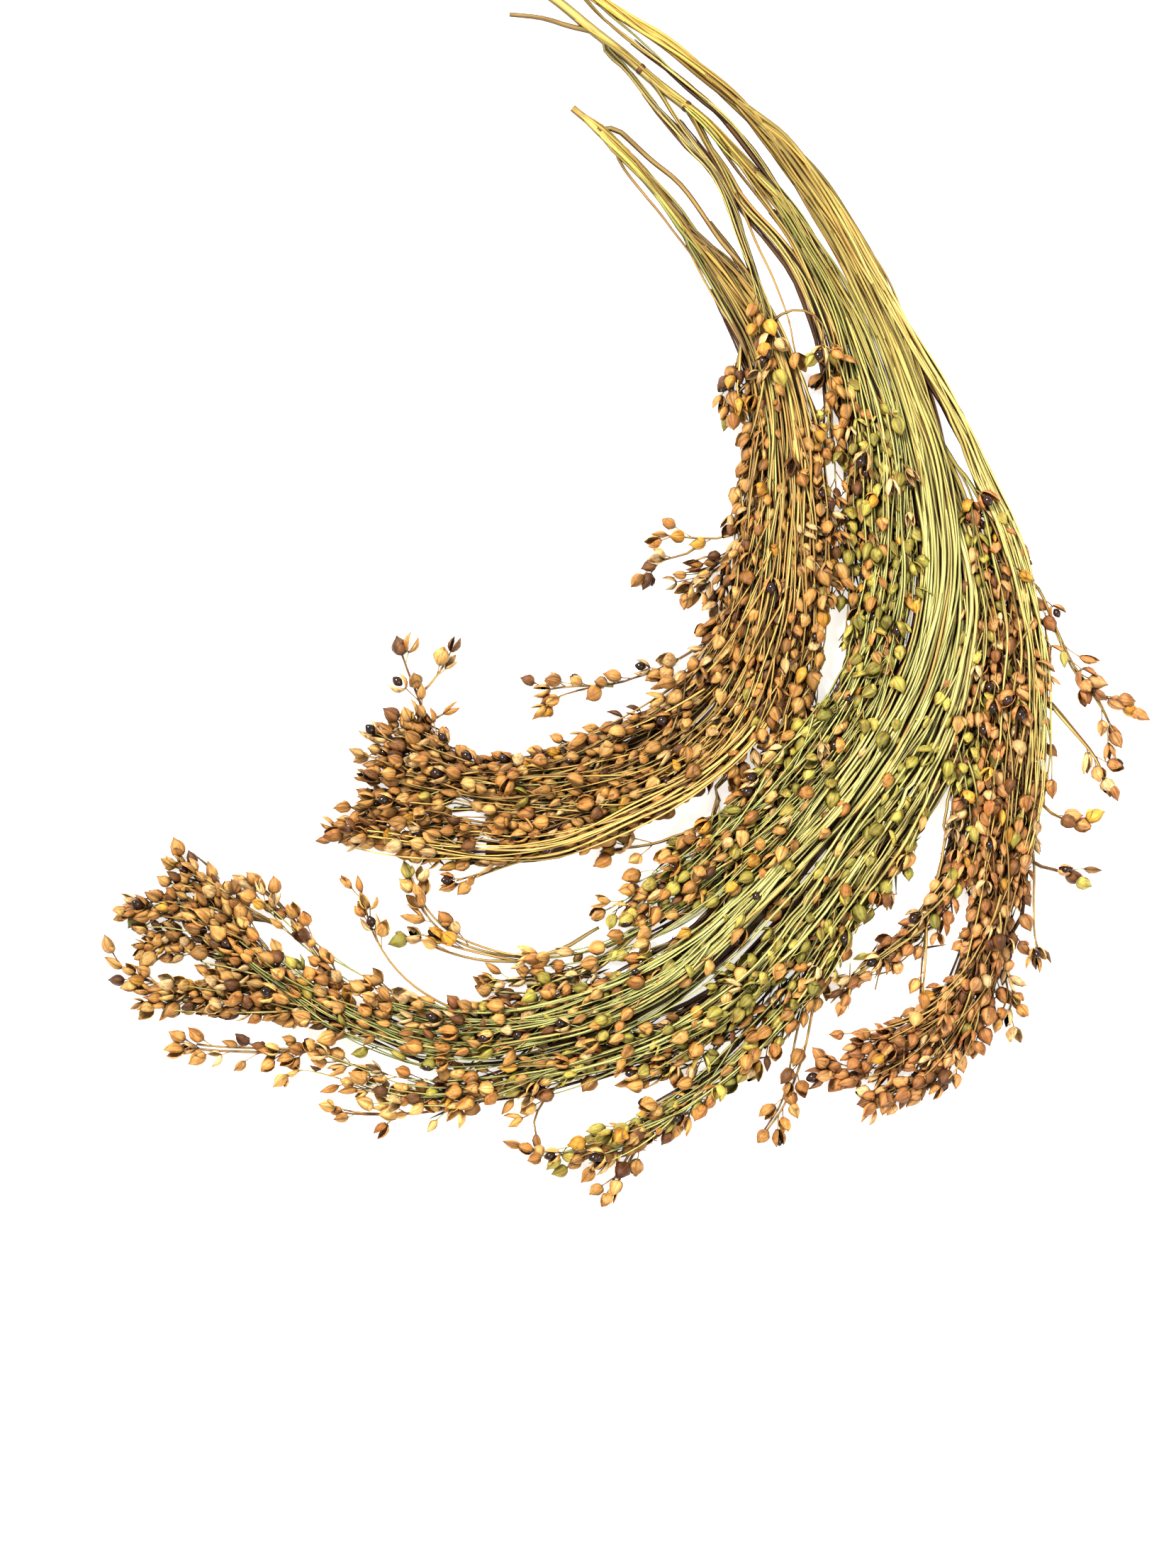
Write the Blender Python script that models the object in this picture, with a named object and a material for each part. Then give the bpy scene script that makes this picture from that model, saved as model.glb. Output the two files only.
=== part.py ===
"""Dried proso millet: three cut panicles lying through each other in one loose bunch.

A panicle is a culm whose long thin branches hang to one side in tresses, with plump
pointed spikelets along their outer lengths. Every culm, branch and tress here follows a
strand: a smooth line through a few points seen from above, with its height over the
surface and its half-width. The stems of a strand run side by side along it, spread as it
widens, and carry the spikelets. The stems of a dense tress run into a slim core, with
half of its faces raised into spikelets. Each panicle is one body. The origin is on the
surface, under the middle of the bunch.
"""

import math
import random
from collections import namedtuple

import bmesh
import bpy
from mathutils import Vector
from mathutils.kdtree import KDTree

MM = 0.001

# Driving dimensions, in millimetres
SPIKELET_LENGTH = 4.9
SPIKELET_WIDTH = 3.2
SPIKELET_SPACING = 20.0
STEM_RADIUS = 0.5
TIP_RADIUS = 0.35
CLEARANCE = 0.25

# How finely the lines, stems, culms and cores are divided, in millimetres
LINE_STEP = 3.0
STEM_STRAY = 0.4
CULM_STEP = 10.0
STEM_SIDES = 3
CULM_SIDES = 8
CORE_SIDES = 5

CURVE_STEPS = 12

# How the strands lie over one another, and how their stems fan out and waver
STRAND_FLATNESS = 0.37
LIFT_SLOPE = 0.3
ROOT_POINTS = 8
STEM_PLACES = (1, -1, 0.5, -0.5)
SPREAD_SHARE = 0.14
WAVER = 0.5
WAVE_ANGLE = 9
INTO_CORE = 0.03
ENTRY_SPREAD = 0.25

# The cores of the dense tresses, and how far their raised spikelets lean out and onward
CORE_FLATNESS = 0.75
CORE_TWIST = math.radians(28)
CORE_END = 0.3
CORE_TAPER = 3.0
RAISED_SHARE = 0.5
LEAN_OUT = (0.8, 1.3)
LEAN_ONWARD = 0.8

# The separate spikelets: their sizes, their waists, and how far they lean off their stems
SIZES = (0.9, 1.1)
SPIKELET_WAIST = 0.42
LEAN_OFF = (0.75, 1.1)
LEAN_UP = 0.7

UP = Vector((0, 0, 1))
GOLDEN_ANGLE = math.radians(137.5)

# grows_from: the strand that it branches off, or None for a culm
# stems: how many stems run along it; core: the core's share of the half-width, or 0
# seeds: where along it the spikelets begin, from 0 to 1, or None
# widths, heights: half-widths and heights of the centre line, evenly spaced along it
# route: where it runs, seen from above; a branch starts at the nearest point of its parent
Strand = namedtuple("Strand", "grows_from stems core seeds widths heights route")

LEFT = {
    "culm": Strand(
        None, 1, 0, None, (1.05, 1.1, 1.0), (0.9, 1.4, 2.6),
        [(-13, 111), (-7, 106), (0, 99.5), (5, 94), (10, 88), (14.5, 82), (18, 76)],
    ),
    "arch": Strand(
        "culm", 1, 0, None, (0.6, 0.6), (1.5, 3.5, 4.5),
        [(-7, 106.2), (-3, 106), (1, 102.8), (7, 97.5), (14, 91.5), (20, 84), (25, 77), (31, 69),
         (36, 59)],
    ),
    "thin_branch": Strand(
        "culm", 1, 0, None, (0.4, 0.4), (1.6, 2.4, 3),
        [(-2, 99.5), (-1, 96), (5, 89), (11, 82.5), (17, 74), (23, 63)],
    ),
    "edge": Strand(
        "culm", 1, 0.4, 0.36, (1, 2, 2.4, 3, 3.6, 3.2, 2), (2.6, 3, 2.6, 2, 1.4, 1.2, 1),
        [(14.5, 82), (19, 73), (25, 61), (30, 50), (32.5, 38), (32, 24), (30, 10), (29, -4), (27, -16),
         (23, -27)],
    ),
    "band_upper": Strand(
        "culm", 1, 0.42, 0.42, (1, 2.6, 3.2, 4.4, 5, 5, 4.5, 2.5), (2.6, 3.6, 4, 4, 3.4, 2.4, 1.6, 1),
        [(15, 81.5), (21, 72), (27, 60), (33, 48), (36, 34), (36, 16), (33, -4), (28, -22), (19, -37),
         (7, -47), (-8, -52), (-24, -55), (-40, -55), (-54, -52), (-67, -50)],
    ),
    "band_middle": Strand(
        "culm", 2, 0.42, 0.4, (1, 2.6, 3.6, 4.6, 5, 5, 4.6, 2.5), (3, 5, 6, 6, 5.4, 3.6, 2, 1.1),
        [(15.5, 81), (22, 72), (29, 60), (35, 48), (38, 34), (38.5, 16), (37, -4), (33, -22), (25, -38),
         (12, -51), (-4, -58), (-20, -61), (-36, -62), (-52, -60), (-70, -56)],
    ),
    "band_lower": Strand(
        "culm", 2, 0.4, 0.4, (1, 2.6, 3.4, 4.4, 4.6, 4.6, 4, 2.5), (3, 5, 6, 6, 4.6, 3, 1.8, 1),
        [(16, 81), (23, 72), (31, 60), (37, 48), (40.5, 34), (42, 16), (41, -4), (38, -22), (32, -40),
         (22, -55), (7, -64), (-10, -69), (-28, -71), (-46, -69), (-60, -67), (-75, -67)],
    ),
    "band_straw": Strand(
        "culm", 1, 0, 0.78, (0.8, 1.6, 1.8, 1.6, 1.4, 1.2), (3, 5.4, 7, 6, 3, 2, 1.4),
        [(16.5, 80.5), (24, 72), (33, 59), (39, 47), (43, 33), (45, 14), (45, -8), (41, -30), (32, -50),
         (18, -63), (0, -71), (-16, -76.5), (-32, -78), (-48, -76.5), (-62, -74.5), (-77, -73)],
    ),
    "lobe": Strand(
        "culm", 1, 0.42, 0.45, (0.8, 2, 3, 4, 4.6, 2.5), (3, 5, 5.4, 5, 3.6, 2),
        [(17, 80), (27, 70), (36, 56), (42, 42), (45.5, 26), (47, 8), (47, -10), (46, -28), (41, -46),
         (33, -60)],
    ),
    "inner_edge": Strand(
        "arch", 1, 0, 0.42, (0.6, 2, 2.4, 2), (4, 6, 6, 3.4),
        [(22, 80.5), (30, 69), (37, 56), (43, 42), (47.5, 28), (49, 14), (50, 0), (50, -14), (47.5, -28),
         (45, -40)],
    ),
    "side_spray": Strand(
        "edge", 1, 0, 0.25, (0.4, 0.4), (2.4, 1.6, 1),
        [(30, 6), (24, 2.5), (18, 2), (12, 2), (8, 2.5)],
    ),
    "side_spray_low": Strand(
        "side_spray", 1, 0, 0.3, (0.4, 0.4), (1.6, 1.2, 1),
        [(21, 2), (17, -1), (11, -3), (5.5, -6)],
    ),
    "side_cluster": Strand(
        "edge", 2, 0, 0.3, (0.6, 1.6, 1.2), (2.4, 1.6, 1),
        [(29, 3), (25, -2), (20, -7), (15, -12)],
    ),
    "thin_spray": Strand(
        "edge", 1, 0, 0.12, (0.4, 0.4), (2, 1.6, 1.2, 1),
        [(23, -20), (15, -26), (8, -31), (0, -35), (-8, -36.5), (-15, -38), (-23, -41)],
    ),
    "thin_spray_fork": Strand(
        "thin_spray", 1, 0, 0.4, (0.4, 0.4), (1.4, 1),
        [(-4, -36), (-11, -35.5), (-17, -36), (-22, -37)],
    ),
    "rising_spray": Strand(
        "band_upper", 1, 0, 0.1, (0.4, 0.4), (2.4, 1.6, 1),
        [(-44, -50), (-46.5, -44), (-50, -37), (-54, -31), (-57.5, -25)],
    ),
    "rising_fork": Strand(
        "rising_spray", 1, 0, 0.35, (0.4, 0.4), (1.6, 1.3, 1),
        [(-50, -37), (-47.5, -34), (-45, -29), (-43, -23.5)],
    ),
    "rising_side": Strand(
        "rising_spray", 1, 0, 0.6, (0.4, 0.4), (1.8, 1),
        [(-46, -45), (-44, -43), (-41, -42)],
    ),
    "low_spray": Strand(
        "band_straw", 1, 0, 0.35, (0.4, 0.4), (2, 1.4, 1),
        [(-16, -76.5), (-24, -79.5), (-31, -82), (-38, -84.5), (-45, -87)],
    ),
    "lobe_tail": Strand(
        "band_lower", 1, 0, 0.2, (0.4, 0.4), (4, 2.4, 1.2),
        [(31, -42), (26, -58), (20, -70), (10, -75), (0, -76.5), (-8, -77)],
    ),
}

MIDDLE = {
    "culm": Strand(
        None, 1, 0, None, (1.2, 1.3, 1.4, 1.2), (1, 1.1, 1.2, 1.8, 2.4),
        [(-48, 154.5), (-38, 150.5), (-27, 145), (-17.5, 138.6), (-8, 130.8), (0, 124.5), (8, 117.5),
         (15, 112), (21, 107), (27, 100.5), (33, 94.5), (39, 88.5), (43, 83.5)],
    ),
    "dry_branch": Strand(
        "culm", 1, 0, None, (0.4, 0.4), (1.2, 1.2, 0.8),
        [(-7, 130), (-12, 131.5), (-20, 133.8), (-29, 134.3)],
    ),
    "over_left_outer": Strand(
        "culm", 1, 0, 0.8, (0.6, 0.6), (1.4, 3, 6, 7, 7),
        [(-6, 128.5), (-5, 125), (0, 120.8), (6, 114), (12, 107), (17, 100.5), (22, 95), (26, 87),
         (29, 78), (32, 69), (34.5, 60), (35.5, 51), (34, 44)],
    ),
    "over_left_inner": Strand(
        "culm", 1, 0, 0.86, (0.6, 0.6), (1.4, 3, 6, 7, 7),
        [(3, 122), (9, 115.5), (14, 108), (19, 101), (24, 93), (28, 84), (31, 74), (34, 65), (37, 57),
         (37.5, 48), (36.5, 38)],
    ),
    "arching_hair": Strand(
        "over_left_inner", 1, 0, 0.8, (0.4, 0.4), (7, 8, 7.5),
        [(37, 57), (41, 59.5), (46, 58.8), (49.5, 55), (49, 50), (47.5, 47)],
    ),
    "between_left": Strand(
        "culm", 2, 0, 0.5, (0.6, 1, 2, 2.4, 1.6), (2, 2.4, 3, 3, 2),
        [(13, 108), (19, 100), (25, 93.5), (32, 84.5), (38, 77.5), (44, 69), (48, 60), (51, 50), (53, 38),
         (53.5, 26), (54, 14), (54.5, 2)],
    ),
    "between_right": Strand(
        "culm", 2, 0, 0.5, (0.6, 1, 2, 2.4, 1.6), (2, 2.4, 3, 3, 2),
        [(21, 106.5), (27, 99), (33, 91.5), (39, 83.5), (44, 76), (49, 66), (53, 56), (56, 44), (58, 32),
         (58.5, 20), (58, 6), (57, -8), (56, -20), (53, -30)],
    ),
    "fine_hair": Strand(
        "between_left", 1, 0, 0.85, (0.35, 0.35), (2.4, 2, 2),
        [(29, 88), (33, 76), (38, 66), (42, 57), (43.5, 49), (45, 42)],
    ),
    "green_edge": Strand(
        "culm", 2, 0.4, 0.42, (1, 2, 2.8, 4, 4.4, 2.6), (2.4, 3.4, 4, 3.6, 2.6, 1.4),
        [(37, 91), (43, 81), (49, 70), (54, 59), (58, 47), (61, 34), (63, 20), (63, 6), (62, -8),
         (59, -22), (53, -35), (46, -47), (37, -59), (27, -69), (17, -78), (6, -86), (-5, -92)],
    ),
    "green_middle": Strand(
        "culm", 2, 0.42, 0.36, (1, 2, 2.8, 4, 4.6, 2.8), (2.4, 3.6, 4.4, 4.4, 3, 1.6),
        [(38, 90), (44.5, 80), (51, 69), (56.5, 58), (61, 46), (64.5, 33), (66.5, 19), (67, 5), (66, -10),
         (63, -25), (57, -39), (48.5, -52), (38.5, -63), (27.5, -74), (16, -84), (3, -92.5), (-9, -98)],
    ),
    "green_inner": Strand(
        "culm", 2, 0, 0.4, (1, 1.6, 2.4, 3, 3, 1.6), (2.4, 3.6, 4.2, 4, 2.6, 1.2),
        [(39, 89), (46, 79), (53, 68), (59, 57), (64, 45), (68, 32), (70, 18), (71, 4), (70, -12),
         (66.5, -28), (60.5, -43), (51.5, -57), (41, -69), (29, -80), (16, -90.5), (2, -99), (-11, -104),
         (-24, -105.5), (-37, -105)],
    ),
    "upper_whisker": Strand(
        "green_middle", 1, 0, 0.5, (0.4, 0.4), (2.4, 1.8, 1.4),
        [(-5, -97), (-14, -101.5), (-24, -103.5), (-34, -102.5), (-43, -99), (-50, -92.5), (-54, -85),
         (-56.5, -79)],
    ),
    "lower_whisker": Strand(
        "green_inner", 1, 0, 0.5, (0.4, 0.4), (1.8, 1.4, 1.2),
        [(-26, -105.5), (-36, -104.5), (-46, -101.5), (-54, -98)],
    ),
    "low_cluster": Strand(
        "green_inner", 2, 0, 0.2, (0.6, 2, 2), (2.4, 1.8, 1.2),
        [(4, -98), (-6, -106), (-18, -110.5), (-29, -111.5), (-39, -109)],
    ),
}

RIGHT = {
    "culm": Strand(
        None, 1, 0, None, (1.5, 1.7, 1.7, 1.5), (1.3, 1.4, 2.2, 4),
        [(-62, 164), (-54, 161.5), (-43, 158), (-30, 152.5), (-18, 146), (-7, 138.8), (2, 132.5),
         (11, 126.5), (20, 119.5), (28, 112.5), (34, 106.5), (39, 100.5)],
    ),
    "side_branch": Strand(
        "culm", 1, 0, None, (0.5, 0.5), (1.6, 3, 4.5),
        [(-14, 141), (-5, 133), (5, 126), (12, 120.3), (19, 114), (26, 107.5), (32, 100.5), (38, 92),
         (45, 82), (52, 70)],
    ),
    "outer": Strand(
        "culm", 2, 0, 0.8, (0.8, 1.6, 2, 1.8, 2, 2.2), (4, 6, 6, 4.4, 3, 1.6),
        [(33, 108), (41, 101.5), (49, 91), (56, 80), (63, 68), (70, 56), (77, 44.5), (83, 34), (88, 23),
         (93, 12), (98, 0), (102, -13), (104.5, -27), (105.5, -42), (105, -57), (103, -71), (100, -84)],
    ),
    "pale_left": Strand(
        "culm", 3, 0, 0.62, (1, 2, 2.4, 2.4, 2.6, 3.2, 2.6), (4, 7, 8, 8, 6, 3.4, 1.2),
        [(32, 108.5), (39, 99), (46, 88.5), (53, 77), (59.5, 65), (65.5, 52), (70.5, 39), (74, 26),
         (76.5, 12), (77.5, -3), (76, -18), (71.5, -34), (63.5, -49), (53, -63), (42, -76), (31, -88),
         (19, -99.5), (5, -109), (-10, -116), (-27, -120), (-43, -120), (-58, -116.5), (-71, -110),
         (-82, -102), (-90, -93.5), (-98, -85)],
    ),
    "pale_middle": Strand(
        "culm", 2, 0.4, 0.66, (1, 2, 2.6, 2.8, 3, 4, 3), (4, 7, 8, 7.4, 5, 2.8, 1.1),
        [(33, 108.5), (40, 99.5), (47.5, 88.5), (55, 77), (61.5, 65), (67.5, 52), (72.5, 39), (77, 26),
         (80, 12), (81.5, -3), (80.5, -18), (76, -34), (68.5, -49), (58.5, -63), (47.5, -76), (36, -89),
         (24.5, -101), (11, -112), (-4, -120), (-20, -125), (-36, -128), (-52, -127), (-66, -121.5),
         (-78, -114.5), (-90, -106), (-101, -97), (-112, -90)],
    ),
    "pale_right": Strand(
        "culm", 2, 0.4, 0.5, (1, 2, 2.8, 3.4, 4.6, 4, 2.6), (4, 6, 6, 5, 3.4, 2.4, 1.1),
        [(33.5, 108), (41.5, 99.5), (49.5, 88.5), (57, 77), (64, 65), (70.5, 52), (76, 39), (80.5, 26),
         (84, 12), (86, -3), (86, -18), (83, -34), (77, -49), (68.5, -64), (58.5, -78), (48, -92),
         (37, -105), (25, -116), (11, -124), (-5, -130), (-22, -134.5), (-38, -138), (-54, -138.5),
         (-68, -134.5), (-82, -130.5), (-94, -132.5)],
    ),
    "bottom_tail": Strand(
        "culm", 1, 0.36, 0.5, (1, 2, 2.6, 3, 3.2, 3, 2), (4, 5.4, 5, 3.8, 2.6, 1.8, 1),
        [(34, 107.5), (42.5, 99.5), (51, 88.5), (59, 77), (66, 65), (73, 52), (79, 39), (83.5, 26),
         (87, 12), (89.5, -3), (90, -18), (88.5, -34), (84, -50), (77, -66), (68, -81), (58, -95),
         (47.5, -109), (36.5, -122), (24, -134), (10, -144), (-4, -151.5), (-18, -155.5), (-32, -153)],
    ),
    "column_left": Strand(
        "pale_right", 1, 0.4, 0.12, (0.8, 3, 3.6, 3, 2.4), (5, 4, 3, 2, 1.2),
        [(79.5, 30), (84.5, 16), (88, 0), (89, -17), (88.5, -34), (87.5, -50), (86.5, -65), (84, -79),
         (79, -91), (72, -99.5), (65, -106), (58, -115), (50.5, -122)],
    ),
    "column_middle": Strand(
        "bottom_tail", 1, 0.42, 0.1, (0.8, 3.4, 4.6, 4.4, 3), (5, 3.6, 2.6, 1.8, 1.2),
        [(82, 30), (89, 13), (94, -5), (95.5, -21), (95, -38), (94, -54), (93.5, -70), (92.5, -85),
         (90.5, -99), (85, -111), (77, -119.5), (67, -125), (55, -128)],
    ),
    "column_right": Strand(
        "outer", 1, 0.4, 0.12, (0.8, 2.6, 3.2, 4, 3), (5, 3.4, 2, 1.6, 1),
        [(88, 23), (94, 8), (98.5, -8), (101, -25), (101.5, -42), (101, -58), (100, -75), (98, -90),
         (94, -104), (88, -116), (80, -126), (70, -132), (58, -134), (47, -133)],
    ),
    "tail_low": Strand(
        "column_right", 1, 0, 0.2, (0.8, 2, 2), (1.8, 1.4, 1),
        [(96, -98), (92, -112), (86, -124), (78, -133.5), (68, -139.5), (60, -141.5)],
    ),
    "inner_fill": Strand(
        "pale_right", 1, 0.4, 0.1, (0.8, 3, 4.4, 4.4, 3), (4.4, 4, 3, 2, 1.2),
        [(80, -40), (74, -55), (65, -70), (55.5, -84), (46, -97), (36, -110), (26, -120), (14, -129),
         (0, -136)],
    ),
    "hanging_tips": Strand(
        "bottom_tail", 1, 0, 0.3, (0.4, 1, 0.6), (2.4, 1.6, 1),
        [(51, -105), (47, -118), (44, -130), (40.5, -141), (36, -148), (33, -153.5)],
    ),
    "pale_whisker": Strand(
        "column_left", 1, 0, 0.8, (0.4, 0.4), (4, 3, 2.4),
        [(87.5, -45), (83.5, -60), (80, -75), (77.5, -90), (75.5, -106), (74, -121)],
    ),
    "tail_fork": Strand(
        "bottom_tail", 1, 0, 0.2, (0.4, 1), (1.4, 1),
        [(8, -145), (2, -153), (-2, -160), (-4, -164.5)],
    ),
    "tail_loop": Strand(
        "pale_right", 1, 0, 0.5, (0.4, 0.4), (2, 1.4, 1),
        [(-5, -130), (-13, -135), (-20, -141), (-23, -147), (-21, -152)],
    ),
    "head_low": Strand(
        "pale_middle", 1, 0.4, 0.2, (1, 3.4, 3.4, 2), (2.6, 2, 1.4, 1),
        [(-50, -127), (-62, -121), (-75, -117), (-89, -115.5), (-103, -114), (-116, -114.5),
         (-127, -116.5)],
    ),
    "head_middle": Strand(
        "pale_middle", 2, 0, 0.3, (1, 2.4, 2), (2.4, 1.8, 1),
        [(-72, -118), (-85, -110.5), (-97, -105.5), (-108, -102), (-117, -100.5), (-124, -99.5)],
    ),
    "head_loop": Strand(
        "head_low", 1, 0, 0.25, (0.4, 0.8), (1.8, 1.4, 1),
        [(-92, -115), (-103, -111), (-114, -111), (-123, -108.5), (-129.5, -105)],
    ),
    "head_upper": Strand(
        "pale_middle", 2, 0, 0.25, (0.8, 2.4, 1.6), (2.4, 1.8, 1),
        [(-85, -110), (-95, -100), (-104, -94), (-113, -92), (-121, -92), (-128, -94)],
    ),
    "head_top": Strand(
        "pale_left", 2, 0, 0.2, (0.8, 2.4, 2), (2, 1.6, 1),
        [(-88, -97), (-97, -93.5), (-105, -88), (-110, -84), (-114, -80.5)],
    ),
    "head_side": Strand(
        "pale_left", 1, 0, 0.3, (0.4, 0.8), (2, 1.6, 1),
        [(-74, -108), (-79, -101), (-85, -93), (-91, -87.5), (-98, -84)],
    ),
    "low_spray": Strand(
        "head_low", 1, 0, 0.25, (0.4, 1), (1.8, 1.4, 1),
        [(-62, -122), (-72, -125.5), (-82, -128), (-95, -128), (-105, -127), (-114, -125)],
    ),
    "lowest_spray": Strand(
        "pale_right", 1, 0, 0.3, (0.4, 0.8), (1.8, 1.4, 1),
        [(-22, -134.5), (-34, -139.5), (-46, -142.5), (-56, -144), (-67, -144.3), (-77, -142)],
    ),
    "long_whisker": Strand(
        "pale_left", 1, 0, 0.62, (0.4, 0.4), (2.6, 2, 1.6, 1.2),
        [(-30, -119.5), (-42, -117.5), (-51, -112.5), (-58, -105.5), (-63.5, -97), (-66.5, -88),
         (-68, -82)],
    ),
    "side_tips_upper": Strand(
        "outer", 1, 0, 0.15, (0.4, 0.8), (3.4, 2.4, 1),
        [(101, -8), (106, -12), (110, -21), (114, -31), (119, -38), (123, -45), (125.5, -51)],
    ),
    "side_tips_far": Strand(
        "side_tips_upper", 1, 0, 0.3, (0.4, 0.4), (1.6, 1.2, 1),
        [(116, -34), (120, -37.5), (125, -40), (130, -41.5)],
    ),
    "side_tips_middle": Strand(
        "outer", 1, 0, 0.5, (0.4, 0.6), (3, 2.4, 1.6, 1),
        [(105, -36), (110, -41), (115, -47), (119.5, -53), (122, -58), (123, -62)],
    ),
    "side_tips_low": Strand(
        "outer", 1, 0, 0.25, (0.4, 0.6), (2.4, 1.6, 1),
        [(104, -60), (107, -66.5), (112, -69.5), (117, -70.5)],
    ),
    "side_tips_lowest": Strand(
        "outer", 1, 0, 0.3, (0.4, 0.6), (2.4, 1.6, 1),
        [(101.5, -77), (106, -80.5), (110.5, -82), (115, -84)],
    ),
    "side_whisker": Strand(
        "outer", 1, 0, 0.72, (0.4, 0.4), (2, 1.6, 1.2, 1),
        [(103, -71), (104, -82), (103.5, -92), (104, -99), (106.5, -105)],
    ),
}

Panicle = namedtuple("Panicle", "strands colour seed")

PANICLES = {
    "panicle_left": Panicle(LEFT, (0.56, 0.38, 0.20, 1), 16),
    "panicle_middle": Panicle(MIDDLE, (0.52, 0.46, 0.20, 1), 11),
    "panicle_right": Panicle(RIGHT, (0.58, 0.50, 0.26, 1), 7),
}


def between(values, share):
    """The value at a share from 0 to 1 of a row of evenly spaced values."""
    place = min(max(share, 0), 1) * (len(values) - 1)
    first = min(int(place), len(values) - 2)
    return values[first] + (values[first + 1] - values[first]) * (place - first)


def smooth_curve(points):
    """Many points on a smooth curve through the given ones."""
    ends = [points[0] * 2 - points[1], *points, points[-1] * 2 - points[-2]]
    curve = []
    for a, b, c, d in zip(ends, ends[1:], ends[2:], ends[3:]):
        for k in range(CURVE_STEPS):
            t = k / CURVE_STEPS
            curve.append(
                (b * 2 + (c - a) * t + (a * 2 - b * 5 + c * 4 - d) * t ** 2
                 + (b * 3 - a - c * 3 + d) * t ** 3) / 2
            )
    return [*curve, points[-1]]


def even_points(curve, step):
    """Points along a curve at even distances of about one step, ends included."""
    lengths = [0]
    for a, b in zip(curve, curve[1:]):
        lengths.append(lengths[-1] + (b - a).length)
    count = max(2, round(lengths[-1] / step))
    found, place = [], 0
    for k in range(count + 1):
        wanted = lengths[-1] * k / count
        while place < len(curve) - 2 and lengths[place + 1] < wanted:
            place += 1
        share = (wanted - lengths[place]) / (lengths[place + 1] - lengths[place])
        found.append(curve[place].lerp(curve[place + 1], share))
    return found


def few_points(line):
    """The few points of a line that straight runs between them need to keep to its course."""
    along = (line[-1] - line[0]).normalized()
    strays = [(p - line[0] - along * (p - line[0]).dot(along)).length for p in line]
    worst = strays.index(max(strays))
    if strays[worst] < STEM_STRAY:
        return [line[0], line[-1]]
    return few_points(line[: worst + 1])[:-1] + few_points(line[worst:])


def directions(points):
    """The direction of travel at each point of a line."""
    last = len(points) - 1
    return [(points[min(k + 1, last)] - points[max(k - 1, 0)]).normalized() for k in range(last + 1)]


def centre_line(strand, lines):
    """The strand's line in space, which starts on its parent's line."""
    flat = even_points(smooth_curve([Vector((x, y, 0)) for x, y in strand.route]), LINE_STEP)
    last = len(flat) - 1
    line = [Vector((p.x, p.y, between(strand.heights, k / last))) for k, p in enumerate(flat)]
    if strand.grows_from:
        root = min(lines[strand.grows_from], key=lambda p: (p.xy - line[0].xy).length)
        shift = root - line[0]
        fade = min(ROOT_POINTS, last)
        for k in range(fade):
            line[k] += shift * (1 - k / fade)
    return line


class Below:
    """The strands of the panicles that are laid down already."""

    def __init__(self):
        self.spots = []
        self.settle()

    def add(self, line, widths):
        last = len(line) - 1
        self.spots += [(p, between(widths, k / last)) for k, p in enumerate(line)]

    def settle(self):
        self.widest = max((width for _, width in self.spots), default=0)
        self.tree = KDTree(len(self.spots))
        for k, (p, _) in enumerate(self.spots):
            self.tree.insert((p.x, p.y, 0), k)
        self.tree.balance()

    def lift(self, line, widths):
        """Raises a line where its strand would reach one below, with a slope up to there on both sides."""
        last = len(line) - 1
        wanted = []
        for k, p in enumerate(line):
            own = between(widths, k / last)
            height = p.z
            for _, number, _ in self.tree.find_range((p.x, p.y, 0), own + self.widest + CLEARANCE):
                q, theirs = self.spots[number]
                reach = own + theirs + CLEARANCE
                apart = (p.xy - q.xy).length
                if apart < reach:
                    thickness = (own + theirs) * STRAND_FLATNESS + 2 * STEM_RADIUS + CLEARANCE
                    height = max(height, q.z + thickness * math.sqrt(1 - (apart / reach) ** 2))
            wanted.append(height)
        for k, p in enumerate(line):
            p.z = max(height - LIFT_SLOPE * LINE_STEP * abs(j - k) for j, height in enumerate(wanted))


def stem_lines(strand, line, rng):
    """The stems of a strand: one on its line and the others beside it, down into its core if it has one."""
    last = len(line) - 1
    into_core = min(last, round(last * (strand.seeds + INTO_CORE))) if strand.core else last
    found = [line[: into_core + 1]]
    ahead = directions(line)
    for beside in STEM_PLACES[: strand.stems - 1]:
        beside *= rng.uniform(0.85, 1.05)
        end = into_core if strand.core else round(last * rng.uniform(0.78, 1))
        phase = rng.uniform(0, math.tau)
        stem = []
        for k in range(end + 1):
            share = k / last
            fan = min(1, share / SPREAD_SHARE)
            spread = between(strand.widths, share) * fan
            if strand.core:
                spread *= min(1, ENTRY_SPREAD + (end - k) / last / INTO_CORE)
            wave = WAVER * math.sin(phase + share * WAVE_ANGLE) * fan
            side = ahead[k].cross(UP).normalized()
            stem.append(line[k] + side * (beside * spread + wave) + UP * abs(wave))
        found.append(stem)
    return found


def tube(points, radii, sides, flatness=1):
    """A closed tube round a line, with a flat side below."""
    mesh = bmesh.new()
    rings = []
    for p, radius, ahead in zip(points, radii, directions(points)):
        side = ahead.cross(UP).normalized()
        over = side.cross(ahead)
        angles = [math.tau * (k + 0.5) / sides for k in range(sides)]
        spots = [p + (side * math.sin(a) - over * flatness * math.cos(a)) * radius for a in angles]
        rings.append([mesh.verts.new(spot * MM) for spot in spots])
    for ring, following in zip(rings, rings[1:]):
        for k in range(sides):
            nearby = (k + 1) % sides
            mesh.faces.new((ring[k], ring[nearby], following[nearby], following[k]))
    mesh.faces.new(reversed(rings[0]))
    mesh.faces.new(rings[-1])
    return mesh


def culm(strand, line):
    """The stout stem at the top, cut off at its end."""
    points = even_points(line, CULM_STEP)
    last = len(points) - 1
    return tube(points, [between(strand.widths, k / last) for k in range(last + 1)], CULM_SIDES)


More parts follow.
